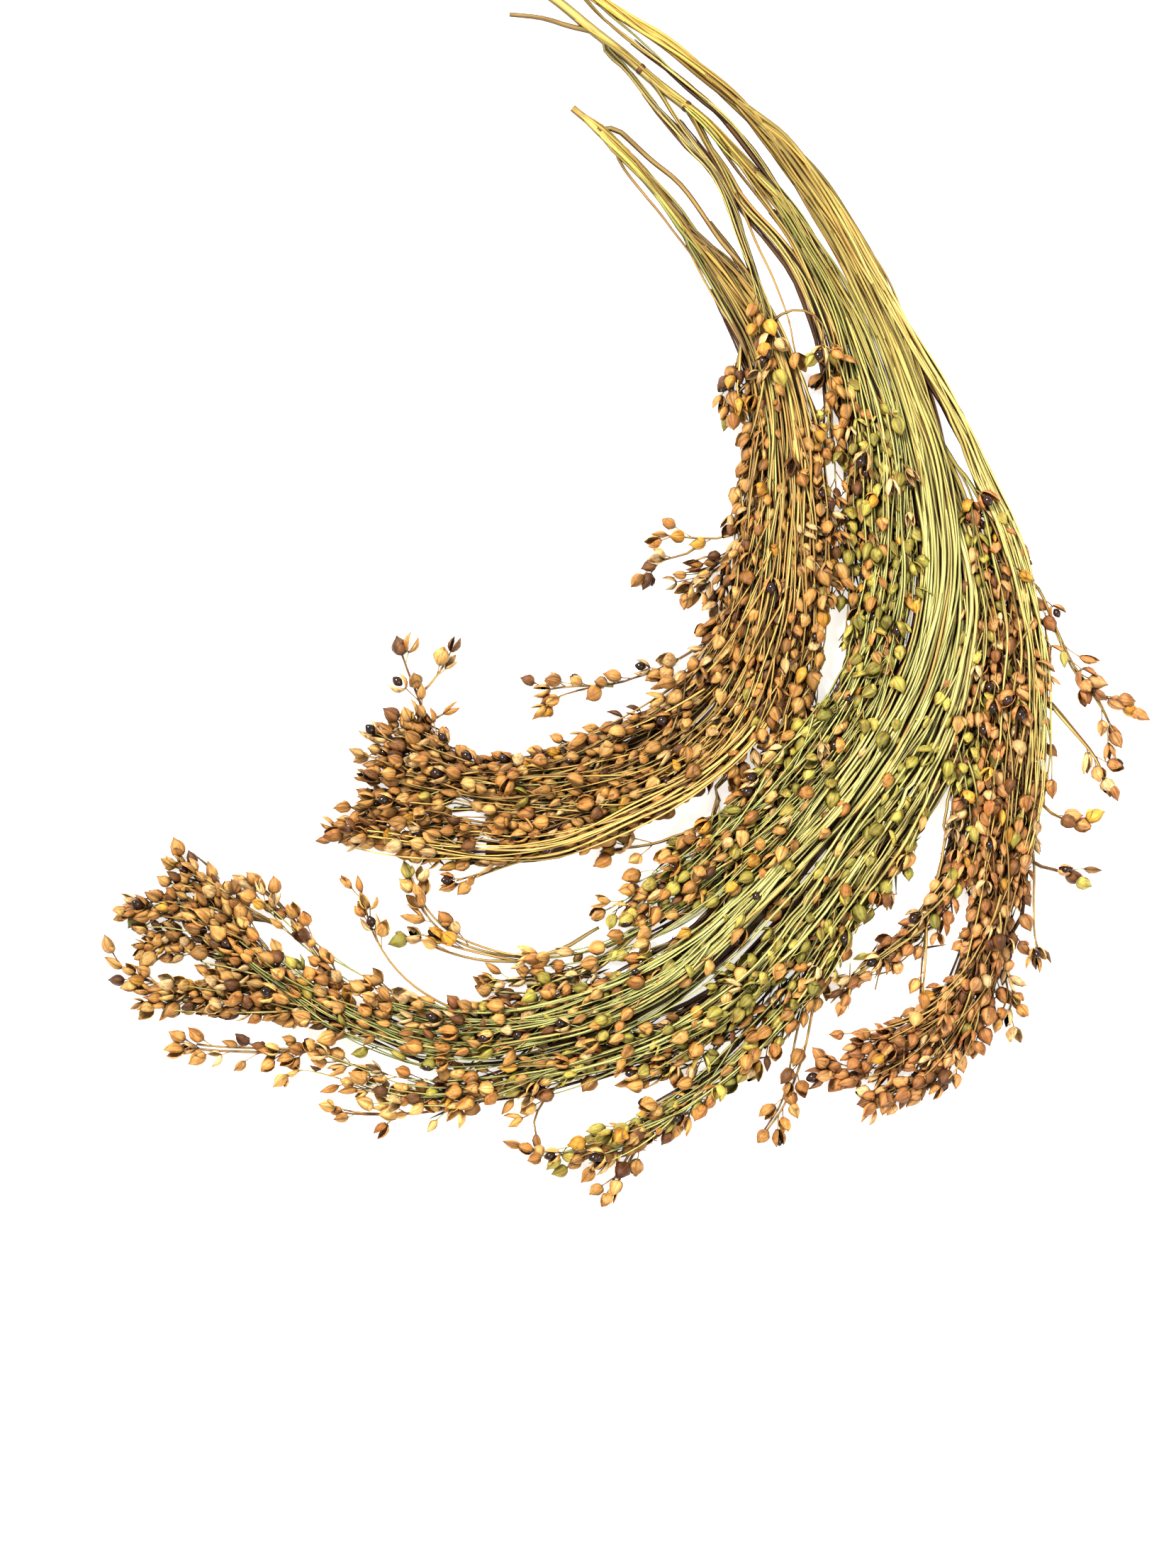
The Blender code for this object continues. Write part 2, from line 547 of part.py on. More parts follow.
def stem(line):
    """A thin stem that tapers to its tip."""
    points = few_points(line)
    last = len(points) - 1
    return tube(points, [between((STEM_RADIUS, TIP_RADIUS), k / last) for k in range(last + 1)], STEM_SIDES)


def core_line(strand, line, step):
    """Points and radii along the middle of a dense tress, slim at both of its ends."""
    points = even_points(line[round((len(line) - 1) * strand.seeds):], step)
    last = len(points) - 1
    radii = []
    for k in range(last + 1):
        inside = k / last
        share = strand.seeds + (1 - strand.seeds) * inside
        ends = min(1, CORE_END + CORE_TAPER * min(inside, 1 - inside))
        radii.append(max(STEM_RADIUS, between(strand.widths, share) * strand.core * ends))
    return points, radii


def dense_tress(strand, line, rng):
    """A slim twisted core, most of its faces raised into spikelets that point onward and out."""
    mesh = bmesh.new()
    points, radii = core_line(strand, line, SPIKELET_LENGTH)
    ahead = directions(points)
    turn = rng.uniform(0, math.tau)
    rings = []
    for p, radius, onward in zip(points, radii, ahead):
        side = onward.cross(UP).normalized()
        over = side.cross(onward)
        turn += CORE_TWIST * rng.uniform(0.7, 1.3)
        angles = [turn + math.tau * k / CORE_SIDES for k in range(CORE_SIDES)]
        spots = [p + (side * math.cos(a) + over * CORE_FLATNESS * math.sin(a)) * radius for a in angles]
        rings.append([mesh.verts.new(spot * MM) for spot in spots])
    for k, (ring, following) in enumerate(zip(rings, rings[1:])):
        middle = (points[k] + points[k + 1]) / 2 * MM
        for j in range(CORE_SIDES):
            nearby = (j + 1) % CORE_SIDES
            corners = (ring[j], ring[nearby], following[nearby], following[j])
            centre = sum((corner.co for corner in corners), Vector()) / 4
            lean = (centre - middle).normalized() * rng.uniform(*LEAN_OUT) + ahead[k] * LEAN_ONWARD
            tip = centre + lean.normalized() * SPIKELET_LENGTH / 2 * MM
            if rng.random() > RAISED_SHARE or tip.z < 0:
                mesh.faces.new(corners)
                continue
            apex = mesh.verts.new(tip)
            for first, second in zip(corners, (*corners[1:], corners[0])):
                mesh.faces.new((first, second, apex))
    mesh.faces.new(reversed(rings[0]))
    mesh.faces.new(rings[-1])
    return mesh


def spikelet(base, axis, size):
    """A plump pointed husk with three sides, widest below its middle."""
    mesh = bmesh.new()
    side = axis.cross(UP).normalized()
    over = side.cross(axis)
    waist = base + axis * SPIKELET_LENGTH * size * SPIKELET_WAIST
    radius = SPIKELET_WIDTH * size / math.sqrt(3)
    angles = [math.tau * k / 3 for k in range(3)]
    ring = [
        mesh.verts.new((waist + (side * math.sin(a) + over * math.cos(a)) * radius) * MM)
        for a in angles
    ]
    foot = mesh.verts.new(base * MM)
    tip = mesh.verts.new((base + axis * SPIKELET_LENGTH * size) * MM)
    for k in range(3):
        mesh.faces.new((ring[k], ring[(k + 1) % 3], tip))
        mesh.faces.new((ring[(k + 1) % 3], ring[k], foot))
    return mesh


def tip_seats(line):
    """The seat of the spikelet at a line's tip."""
    onward = directions(line)[-1]
    return [(line[-1] - onward, onward)]


def seats_on_stem(strand, line, rng):
    """Where spikelets sit on a stem and which way they point, from where they begin to the tip."""
    line = even_points(few_points(line), LINE_STEP)
    ahead = directions(line)
    step = SPIKELET_SPACING / LINE_STEP
    place = len(line) * strand.seeds + rng.uniform(0, step)
    turn = rng.uniform(0, math.tau)
    found = tip_seats(line)
    while place < len(line) - 2:
        k = int(place)
        side = ahead[k].cross(UP).normalized()
        turn += GOLDEN_ANGLE
        away = side * math.cos(turn) + UP * math.sin(turn) * LEAN_UP
        found.append((line[k], (ahead[k] + away * rng.uniform(*LEAN_OFF)).normalized()))
        place += step * rng.uniform(0.7, 1.3)
    return found


class Room:
    """The balls that fill what the other panicles hold."""

    def __init__(self, balls):
        self.balls = balls
        self.widest = max(radius for _, radius in balls)
        self.tree = KDTree(len(balls))
        for k, (p, _) in enumerate(balls):
            self.tree.insert(p, k)
        self.tree.balance()

    def is_clear(self, spot, radius):
        near = self.tree.find_range(spot, radius + self.widest + CLEARANCE)
        return all(apart > radius + self.balls[k][1] + CLEARANCE for _, k, apart in near)


def balls_along(strand, line, stems):
    """Balls that fill a strand's stems and core."""
    thick = STEM_RADIUS if strand.grows_from else max(strand.widths)
    balls = [(p, thick) for line_of_stem in stems for p in line_of_stem]
    if strand.core:
        points, radii = core_line(strand, line, LINE_STEP)
        balls += [(p, radius + SPIKELET_LENGTH / 2) for p, radius in zip(points, radii)]
    return balls


def grow(strands, below, rng):
    """The lines and stems of one panicle, laid over the panicles below it."""
    lines, stems, balls = {}, {}, []
    for title, strand in strands.items():
        lines[title] = centre_line(strand, lines)
        below.lift(lines[title], strand.widths)
        stems[title] = stem_lines(strand, lines[title], rng)
        balls += balls_along(strand, lines[title], stems[title])
    for title, strand in strands.items():
        below.add(lines[title], strand.widths)
    below.settle()
    return lines, stems, balls


def shape_object(name, mesh):
    data = bpy.data.meshes.new(name)
    bmesh.ops.recalc_face_normals(mesh, faces=mesh.faces)
    mesh.to_mesh(data)
    mesh.free()
    return bpy.data.objects.new(name, data)


def ground_block():
    """A block under the surface, which cuts a small flat wherever a panicle rests."""
    mesh = bmesh.new()
    bmesh.ops.create_cube(mesh, size=1)
    bmesh.ops.translate(mesh, verts=mesh.verts, vec=(0, 0, -0.5))
    return mesh


def joined(name, meshes):
    """One body from many closed ones, with flats where it rests."""
    whole = shape_object(name, meshes[0])
    bpy.context.scene.collection.objects.link(whole)
    pieces = bpy.data.collections.new(name + "_pieces")
    for number, mesh in enumerate(meshes[1:]):
        pieces.objects.link(shape_object(f"{name}_piece_{number}", mesh))
    ground = shape_object("ground", ground_block())
    union = whole.modifiers.new("union", "BOOLEAN")
    union.operation = "UNION"
    union.solver = "MANIFOLD"
    union.operand_type = "COLLECTION"
    union.collection = pieces
    flats = whole.modifiers.new("flats", "BOOLEAN")
    flats.operation = "DIFFERENCE"
    flats.solver = "MANIFOLD"
    flats.object = ground
    seen = bpy.context.evaluated_depsgraph_get()
    solid = bpy.data.meshes.new_from_object(whole.evaluated_get(seen))
    whole.modifiers.clear()
    whole.data = solid
    for piece in [*pieces.objects, ground]:
        bpy.data.objects.remove(piece)
    bpy.data.collections.remove(pieces)
    return whole


def keep_outer_skin(data):
    """Fills any hollow that is sealed inside a body, and drops what is loose from it."""
    mesh = bmesh.new()
    mesh.from_mesh(data)
    bmesh.ops.triangulate(mesh, faces=mesh.faces)
    waiting = set(mesh.faces)
    skins = []
    while waiting:
        skin, reached = [], [waiting.pop()]
        while reached:
            face = reached.pop()
            skin.append(face)
            for neighbour in {f for edge in face.edges for f in edge.link_faces} & waiting:
                waiting.remove(neighbour)
                reached.append(neighbour)
        skins.append(skin)
    skins.sort(key=len)
    bmesh.ops.delete(mesh, geom=[f for skin in skins[:-1] for f in skin], context="FACES")
    mesh.to_mesh(data)
    mesh.free()


def dried_material(name, colour):
    material = bpy.data.materials.new(name)
    material.use_nodes = True
    shader = material.node_tree.nodes["Principled BSDF"]
    shader.inputs["Base Color"].default_value = colour
    shader.inputs["Roughness"].default_value = 0.6
    shader.inputs["Metallic"].default_value = 0
    return material


def spikelets(seats, room, balls, rng):
    """The spikelets at their seats, but for any that would reach another panicle."""
    meshes = []
    for base, axis in seats:
        size = rng.uniform(*SIZES)
        if base.z < SPIKELET_WIDTH / 2:
            axis = Vector((axis.x, axis.y, abs(axis.z) / 2)).normalized()
        middle = base + axis * SPIKELET_LENGTH * size / 2
        if room.is_clear(middle, SPIKELET_LENGTH / 2):
            meshes.append(spikelet(base, axis, size))
            balls.append((middle, SPIKELET_LENGTH / 2))
    return meshes


def join_panicle(name, colour, strands, grown, room, rng):
    """One panicle: its culm, stems, cores and spikelets, joined in one body."""
    lines, stems, balls = grown
    meshes, seats = [], []
    for title, strand in strands.items():
        if strand.grows_from is None:
            meshes.append(culm(strand, lines[title]))
            continue
        meshes += [stem(line) for line in stems[title]]
        if strand.core:
            meshes.append(dense_tress(strand, lines[title], rng))
            seats += tip_seats(lines[title])
        elif strand.seeds is not None:
            for line in stems[title]:
                seats += seats_on_stem(strand, line, rng)
    meshes += spikelets(seats, room, balls, rng)
    whole = joined(name, meshes)
    keep_outer_skin(whole.data)
    whole.data.materials.clear()
    whole.data.materials.append(dried_material(name, colour))


def main():
    for thing in list(bpy.data.objects):
        bpy.data.objects.remove(thing)
    below = Below()
    draws, grown = {}, {}
    for name, panicle in PANICLES.items():
        draws[name] = random.Random(panicle.seed)
        grown[name] = grow(panicle.strands, below, draws[name])
    for name, panicle in PANICLES.items():
        room = Room([ball for other in PANICLES if other != name for ball in grown[other][2]])
        join_panicle(name, panicle.colour, panicle.strands, grown[name], room, draws[name])


main()
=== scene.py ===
# %% [markdown]
# # Dried proso millet
#
# Proso millet is a cereal grass. Its seed head, the panicle, is a culm with many long thin
# branches that all hang to one side, and each branch ends in plump pointed husks, some with
# a dark shiny grain inside. Here three dried panicles lie through each other in one loose
# bunch. The frame holds three plain solids, one for each panicle. This lesson grows the fine
# stems, the husks and the grains along the same lines and puts them in place of the solids.

import math
import random
from collections import namedtuple
from itertools import product

import bpy
import numpy as np
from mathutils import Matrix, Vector
from mathutils.kdtree import KDTree


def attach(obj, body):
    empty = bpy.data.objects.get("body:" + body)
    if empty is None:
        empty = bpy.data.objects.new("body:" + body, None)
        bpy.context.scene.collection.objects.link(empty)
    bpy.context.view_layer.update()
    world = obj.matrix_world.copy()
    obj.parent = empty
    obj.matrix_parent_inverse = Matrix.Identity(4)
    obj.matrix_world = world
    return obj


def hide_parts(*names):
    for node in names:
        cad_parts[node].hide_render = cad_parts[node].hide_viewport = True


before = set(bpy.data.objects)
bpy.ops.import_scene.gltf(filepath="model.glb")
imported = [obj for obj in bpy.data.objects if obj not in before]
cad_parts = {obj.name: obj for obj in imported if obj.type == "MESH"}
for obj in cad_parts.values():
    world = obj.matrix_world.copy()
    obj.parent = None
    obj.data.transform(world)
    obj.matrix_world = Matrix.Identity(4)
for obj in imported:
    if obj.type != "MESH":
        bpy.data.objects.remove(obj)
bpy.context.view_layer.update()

# %% [markdown]
# ## The view
#
# The bunch lies flat and is seen from straight above, so one lens and one distance give the
# whole view. Everything is measured in millimetres and turned into metres at the end. A
# long way up with a long lens, the near husks and the far ones keep the same size.

# %% The camera
MM = 0.001
PICTURE_WIDTH, PICTURE_HEIGHT = 1659, 2212
MM_PER_PIXEL = 0.18
ORIGIN_PIXEL = (880, 770)
CAMERA_HEIGHT = 900.0
SENSOR = 36.0

centre = (
    (PICTURE_WIDTH / 2 - ORIGIN_PIXEL[0]) * MM_PER_PIXEL,
    (ORIGIN_PIXEL[1] - PICTURE_HEIGHT / 2) * MM_PER_PIXEL,
)
lens = bpy.data.cameras.new("camera")
lens.sensor_width = SENSOR
lens.lens = SENSOR * CAMERA_HEIGHT / (PICTURE_HEIGHT * MM_PER_PIXEL)
camera = bpy.data.objects.new("camera", lens)
camera.location = Vector((*centre, CAMERA_HEIGHT)) * MM
bpy.context.scene.collection.objects.link(camera)
bpy.context.scene.camera = camera
print("the view's middle in mm:", centre, "lens:", round(lens.lens, 1))

# %% [markdown]
# ## The table top and the light
#
# Thin straw only reads when each stem throws a small crisp shadow on the next one. A
# broad lamp high on one side does that, and a second one opposite keeps the shadows brown
# rather than black. The pale table top glows a little, like a light table, so the openings
# between the tresses stay pale and the undersides of the husks get some light too.

# %% The table top
def srgb(red, green, blue):
    """A colour as a screen shows it, in the numbers that a shader takes."""
    shares = [level / 255 for level in (red, green, blue)]
    return tuple(s / 12.92 if s < 0.04045 else ((s + 0.055) / 1.055) ** 2.4 for s in shares)


class Finish:
    """A material that is built up node by node."""

    def __init__(self, name):
        self.material = bpy.data.materials.new(name)
        self.material.use_nodes = True
        self.nodes, self.links = self.material.node_tree.nodes, self.material.node_tree.links
        self.shader = self.nodes["Principled BSDF"]

    def fix(self, values):
        """Sets values that are the same all over."""
        for socket, value in values.items():
            self.shader.inputs[socket].default_value = value


# Half the table top's width in metres, and how much it glows
REACH = 2.5
GLOW = 0.7
WARM_GLOW = (1, 0.96, 0.9, 1)
table_top = bpy.data.meshes.new("table_top")
table_top.from_pydata(
    [(-REACH, -REACH, 0), (REACH, -REACH, 0), (REACH, REACH, 0), (-REACH, REACH, 0)],
    [], [(0, 1, 2, 3)],
)
paper = Finish("pale_table_top")
paper.fix({
    "Base Color": (*srgb(247, 246, 244), 1), "Roughness": 0.9, "Specular IOR Level": 0.1,
    "Emission Color": WARM_GLOW, "Emission Strength": GLOW,
})
table_top.materials.append(paper.material)
floor = bpy.data.objects.new("table_top", table_top)
bpy.context.scene.collection.objects.link(floor)
print("table top:", 2 * REACH, "m wide")


# %% The lamps
def lamp(name, place, width, watts, colour):
    """A square lamp that faces the middle of the bunch."""
    light = bpy.data.lights.new(name, "AREA")
    light.shape = "SQUARE"
    light.size = width
    light.energy = watts
    light.color = colour
    fitted = bpy.data.objects.new(name, light)
    fitted.location = place
    fitted.rotation_euler = (-Vector(place)).to_track_quat("-Z", "Y").to_euler()
    bpy.context.scene.collection.objects.link(fitted)


SKY_COLOUR = (1, 0.98, 0.94, 1)
SKY_STRENGTH = 0.78

lamp("broad_lamp", place=(-0.45, 0.6, 1.1), width=0.35, watts=32, colour=(1, 0.93, 0.87))
lamp("near_lamp", place=(0.9, -0.6, 1.3), width=1.0, watts=11, colour=(1, 0.97, 0.93))
sky = bpy.data.worlds.new("pale_room")
bpy.context.scene.world = sky
sky.use_nodes = True
backdrop = sky.node_tree.nodes["Background"]
backdrop.inputs["Color"].default_value = SKY_COLOUR
backdrop.inputs["Strength"].default_value = SKY_STRENGTH
bpy.context.scene.view_settings.view_transform = "Standard"
print("two lamps and a pale room")

# %% [markdown]
# ## The strands
#
# Three thousand husks can't be placed one by one, and they needn't be. On the plant, the
# branches of a panicle hang in a few tresses, and every stem and husk follows its tress. So
# the bunch is drawn as strands: a route through a few points seen from above, its height
# over the table, and how wide it spreads. The routes are the ones that the solids have,
# which keeps the fine stems where the solids are.

# %% What a strand is
# grows_from: the strand that it branches off, or None for a culm
# stems: how many fine stems run along it
# seeds: where along it the husks begin, from 0 to 1, or None
# widths, heights: half-widths and heights of its line in mm, evenly spaced along it
# route: where it runs, in mm; a branch starts at the nearest point of its parent
Strand = namedtuple("Strand", "grows_from stems seeds widths heights route")

# The half-widths of a strand that has only a stem or two
THREAD = (0.4, 0.4)
print("a strand:", ", ".join(Strand._fields))

# %% The left panicle
LEFT = {
    "culm": Strand(None, 1, None, (1.05, 1.1, 1.0), (0.9, 1.4, 2.6), [
        (-13, 111), (-7, 106), (0, 99.5), (5, 94), (10, 88), (14.5, 82), (18, 76)]),
    "arch": Strand("culm", 1, None, THREAD, (1.5, 3.5, 4.5), [
        (-7, 106.2), (-3, 106), (1, 102.8), (7, 97.5), (14, 91.5), (20, 84), (25, 77), (31, 69), (36, 59),
    ]),
    "thin_branch": Strand("culm", 1, None, THREAD, (1.6, 2.4, 3), [
        (-2, 99.5), (-1, 96), (5, 89), (11, 82.5), (17, 74), (23, 63)]),
    "edge": Strand("culm", 6, 0.36, (1, 2, 2.4, 3, 3.6, 3.2, 2), (2.6, 3, 2.6, 2, 1.4, 1.2, 1), [
        (14.5, 82), (19, 73), (25, 61), (31, 50), (35, 38), (34.6, 24), (32.6, 10), (30.5, -4),
        (27.5, -16), (23, -27)]),
    "band_upper": Strand(
        "culm", 9, 0.42, (1, 2.6, 3.2, 4.4, 5, 4, 4, 2.5), (2.6, 3.6, 4, 4, 3.4, 2.4, 1.6, 1), [
            (15, 81.5), (21, 72), (27, 60), (33, 48), (36, 34), (36, 16), (33, -4), (28, -22), (19, -37),
            (7, -47), (-8, -53), (-24, -57.5), (-40, -57.5), (-54, -53), (-67, -50)]),
    "band_middle": Strand(
        "culm", 13, 0.4, (1, 2.6, 3.6, 4.6, 5, 5, 4.6, 2.5), (3, 5, 6, 6, 5.4, 3.6, 2, 1.1), [
            (15.5, 81), (22, 72), (29, 60), (35, 48), (38, 34), (38.5, 16), (37, -4), (33, -22), (25, -38),
            (12, -51), (-4, -58), (-20, -61), (-36, -62), (-52, -60), (-70, -56)]),
    "band_lower": Strand(
        "culm", 12, 0.4, (1, 2.6, 3.4, 4.4, 4.6, 4.6, 4, 2.5), (3, 5, 6, 6, 4.6, 3, 1.8, 1), [
            (16, 81), (23, 72), (31, 60), (37, 48), (40.5, 34), (42, 16), (41, -4), (38, -22), (32, -40),
            (22, -55), (7, -64), (-10, -69), (-28, -71), (-46, -69), (-60, -67), (-75, -67)]),
    "band_straw": Strand("culm", 9, 0.78, (0.8, 1.6, 1.8, 3.2, 2.2, 1.2), (3, 5.4, 7, 6, 3, 2, 1.4), [
        (16.5, 80.5), (24, 72), (33, 59), (39, 47), (43, 33), (45, 14), (45, -8), (41, -30), (31, -47.5),
        (17, -60.5), (0, -69.5), (-16, -76), (-32, -78), (-48, -76.5), (-62, -74.5), (-77, -73)]),
    "lobe": Strand("culm", 9, 0.45, (0.8, 2, 3, 4, 4.6, 2.5), (3, 5, 5.4, 5, 3.6, 2), [
        (17, 80), (27, 70), (36, 56), (42, 42), (45.5, 26), (47, 8), (47, -10), (46, -28), (41, -46),
        (33, -60)]),
    "inner_edge": Strand("arch", 5, 0.42, (0.6, 2, 2.4, 2), (4, 6, 6, 3.4), [
        (22, 80.5), (30, 69), (37, 56), (43, 42), (47.5, 28), (49, 14), (50, 0), (50, -14), (47.5, -28),
        (45, -40)]),
    "side_spray": Strand("edge", 1, 0.25, THREAD, (2.4, 1.6, 1), [
        (30, 6), (24, 2.5), (18, 2), (12, 2), (8, 2.5)]),
    "side_spray_low": Strand("side_spray", 1, 0.3, THREAD, (1.6, 1.2, 1), [
        (21, 2), (17, -1), (11, -3), (5.5, -6)]),
    "side_cluster": Strand("edge", 3, 0.3, (0.6, 1.6, 1.2), (2.4, 1.6, 1), [
        (29, 3), (25, -2), (20, -7), (15, -12)]),
    "shoulder_cluster": Strand("edge", 3, 0.2, (0.6, 2, 1.4), (2.6, 2.4, 1.6), [
        (29, 53), (28.5, 48.5), (28, 44), (27.5, 39), (29, 34)]),
    "thin_spray": Strand("edge", 1, 0.12, THREAD, (2, 1.6, 1.2, 1), [
        (23, -20), (15, -26), (8, -31), (0, -35), (-8, -36.5), (-15, -38), (-23, -41)]),
    "thin_spray_fork": Strand("thin_spray", 1, 0.4, THREAD, (1.4, 1), [
        (-4, -36), (-11, -35.5), (-17, -36), (-22, -37)]),
    "rising_spray": Strand("band_upper", 1, 0.1, THREAD, (2.4, 1.6, 1), [
        (-44, -50), (-46.5, -44), (-50, -37), (-54, -31), (-57.5, -25)]),
    "rising_fork": Strand("rising_spray", 1, 0.35, THREAD, (1.6, 1.3, 1), [
        (-50, -37), (-47.5, -34), (-45, -29), (-43, -23.5)]),
    "rising_side": Strand("rising_spray", 1, 0.6, THREAD, (1.8, 1), [
        (-46, -45), (-44, -43), (-41, -42)]),
    "low_spray": Strand("band_straw", 2, 0.35, THREAD, (2, 1.4, 1), [
        (-16, -76.5), (-24, -79.5), (-31, -82), (-38, -84.5), (-45, -87)]),
    "foot_cluster": Strand("band_upper", 3, 0.15, (0.8, 2.4, 2), (2, 1.6, 1), [
        (-38, -54), (-45, -50), (-51, -45), (-54, -39)]),
    "lobe_tail": Strand("band_lower", 2, 0.2, THREAD, (4, 2.4, 1.2), [
        (31, -42), (26, -58), (20, -70), (10, -75), (0, -76.5), (-8, -77)]),
}
print("left panicle:", len(LEFT), "strands")

# %% The middle panicle
MIDDLE = {
    "culm": Strand(None, 1, None, (1.2, 1.3, 1.4, 1.2), (1, 1.1, 1.2, 1.8, 2.4), [
        (-48, 154.5), (-38, 150.5), (-27, 145), (-17.5, 138.6), (-8, 130.8), (0, 124.5), (8, 117.5),
        (15, 112), (21, 107), (27, 100.5), (33, 94.5), (39, 88.5), (43, 83.5)]),
    "dry_branch": Strand("culm", 1, None, THREAD, (1.2, 1.2, 0.8), [
        (-7, 130), (-12, 131.5), (-20, 133.8), (-29, 134.3)]),
    "over_left_outer": Strand("culm", 3, 0.8, (0.6, 0.6), (1.4, 3, 6, 7, 7), [
        (-6, 128.5), (-5, 125), (0, 120.8), (6, 114), (12, 107), (17, 100.5), (22, 95), (26, 87), (29, 78),
        (32, 69), (34.5, 60), (35.5, 51), (34, 44)]),
    "over_left_inner": Strand("culm", 3, 0.86, (0.6, 0.6), (1.4, 3, 6, 7, 7), [
        (3, 122), (9, 115.5), (14, 108), (19, 101), (24, 93), (28, 84), (31, 74), (34, 65), (37, 57),
        (37.5, 48), (36.5, 38)]),
    "arching_hair": Strand("over_left_inner", 1, 0.8, THREAD, (7, 8, 7.5), [
        (37, 57), (41, 59.5), (46, 58.8), (49.5, 55), (49, 50), (47.5, 47)]),
    "between_left": Strand("culm", 5, 0.5, (0.6, 1, 2, 2.4, 1.6), (2, 2.4, 3, 3, 2), [
        (13, 108), (19, 100), (25, 93.5), (32, 84.5), (38, 77.5), (44, 69), (48, 60), (51, 50), (53, 38),
        (53.5, 26), (54, 14), (54.5, 2)]),
    "between_right": Strand("culm", 5, 0.5, (0.6, 1, 2, 2.4, 1.6), (2, 2.4, 3, 3, 2), [
        (21, 106.5), (27, 99), (33, 91.5), (39, 83.5), (44, 76), (49, 66), (53, 56), (56, 44), (58, 32),
        (58.5, 20), (58, 6), (57, -8), (56, -20), (53, -30)]),
    "fine_hair": Strand("between_left", 1, 0.85, (0.35, 0.35), (2.4, 2, 2), [
        (29, 88), (33, 76), (38, 66), (42, 57), (43.5, 49), (45, 42)]),
    "green_edge": Strand("culm", 9, 0.42, (1, 2, 2.8, 4, 4.4, 2.6), (2.4, 3.4, 4, 3.6, 2.6, 1.4), [
        (37, 91), (43, 81), (49, 70), (54, 59), (58, 47), (61, 34), (63, 20), (63.5, 6), (63.5, -8),
        (61, -22), (56.5, -34), (49, -46), (39, -58), (27, -69), (17, -78), (6, -86), (-5, -92)]),
    "green_middle": Strand("culm", 12, 0.36, (1, 2, 2.8, 4, 4.6, 2.8), (2.4, 3.6, 4.4, 4.4, 3, 1.6), [
        (38, 90), (44.5, 80), (51, 69), (56.5, 58), (61, 46), (64.5, 33), (66.5, 19), (67, 5), (66, -10),
        (63, -25), (57, -39), (48.5, -52), (38.5, -63), (27.5, -74), (16, -84), (3, -92.5), (-9, -98)]),
    "green_inner": Strand("culm", 12, 0.4, (1, 1.6, 2.4, 3.2, 3.4, 1.6), (2.4, 3.6, 4.2, 4, 2.6, 1.2), [
        (39, 89), (46, 79), (53, 68), (59, 57), (64, 45), (68, 32), (70, 18), (71, 4), (70, -12),
        (66.5, -28), (60.5, -43), (51.5, -57), (41, -69), (29, -80), (16, -90.5), (2, -99), (-11, -104),
        (-24, -105.5), (-37, -105)]),
    "upper_whisker": Strand("green_middle", 2, 0.5, THREAD, (2.4, 1.8, 1.4), [
        (-5, -97), (-14, -101.5), (-24, -103.5), (-34, -102.5), (-43, -99), (-50, -92.5), (-54, -85),
        (-56.5, -79)]),
    "lower_whisker": Strand("green_inner", 2, 0.5, THREAD, (1.8, 1.4, 1.2), [
        (-26, -105.5), (-36, -104.5), (-46, -101.5), (-54, -98)]),
    "low_cluster": Strand("green_inner", 4, 0.2, (0.6, 2, 2), (2.4, 1.8, 1.2), [
        (4, -98), (-6, -106), (-18, -110.5), (-29, -111.5), (-39, -109)]),
}
print("middle panicle:", len(MIDDLE), "strands")

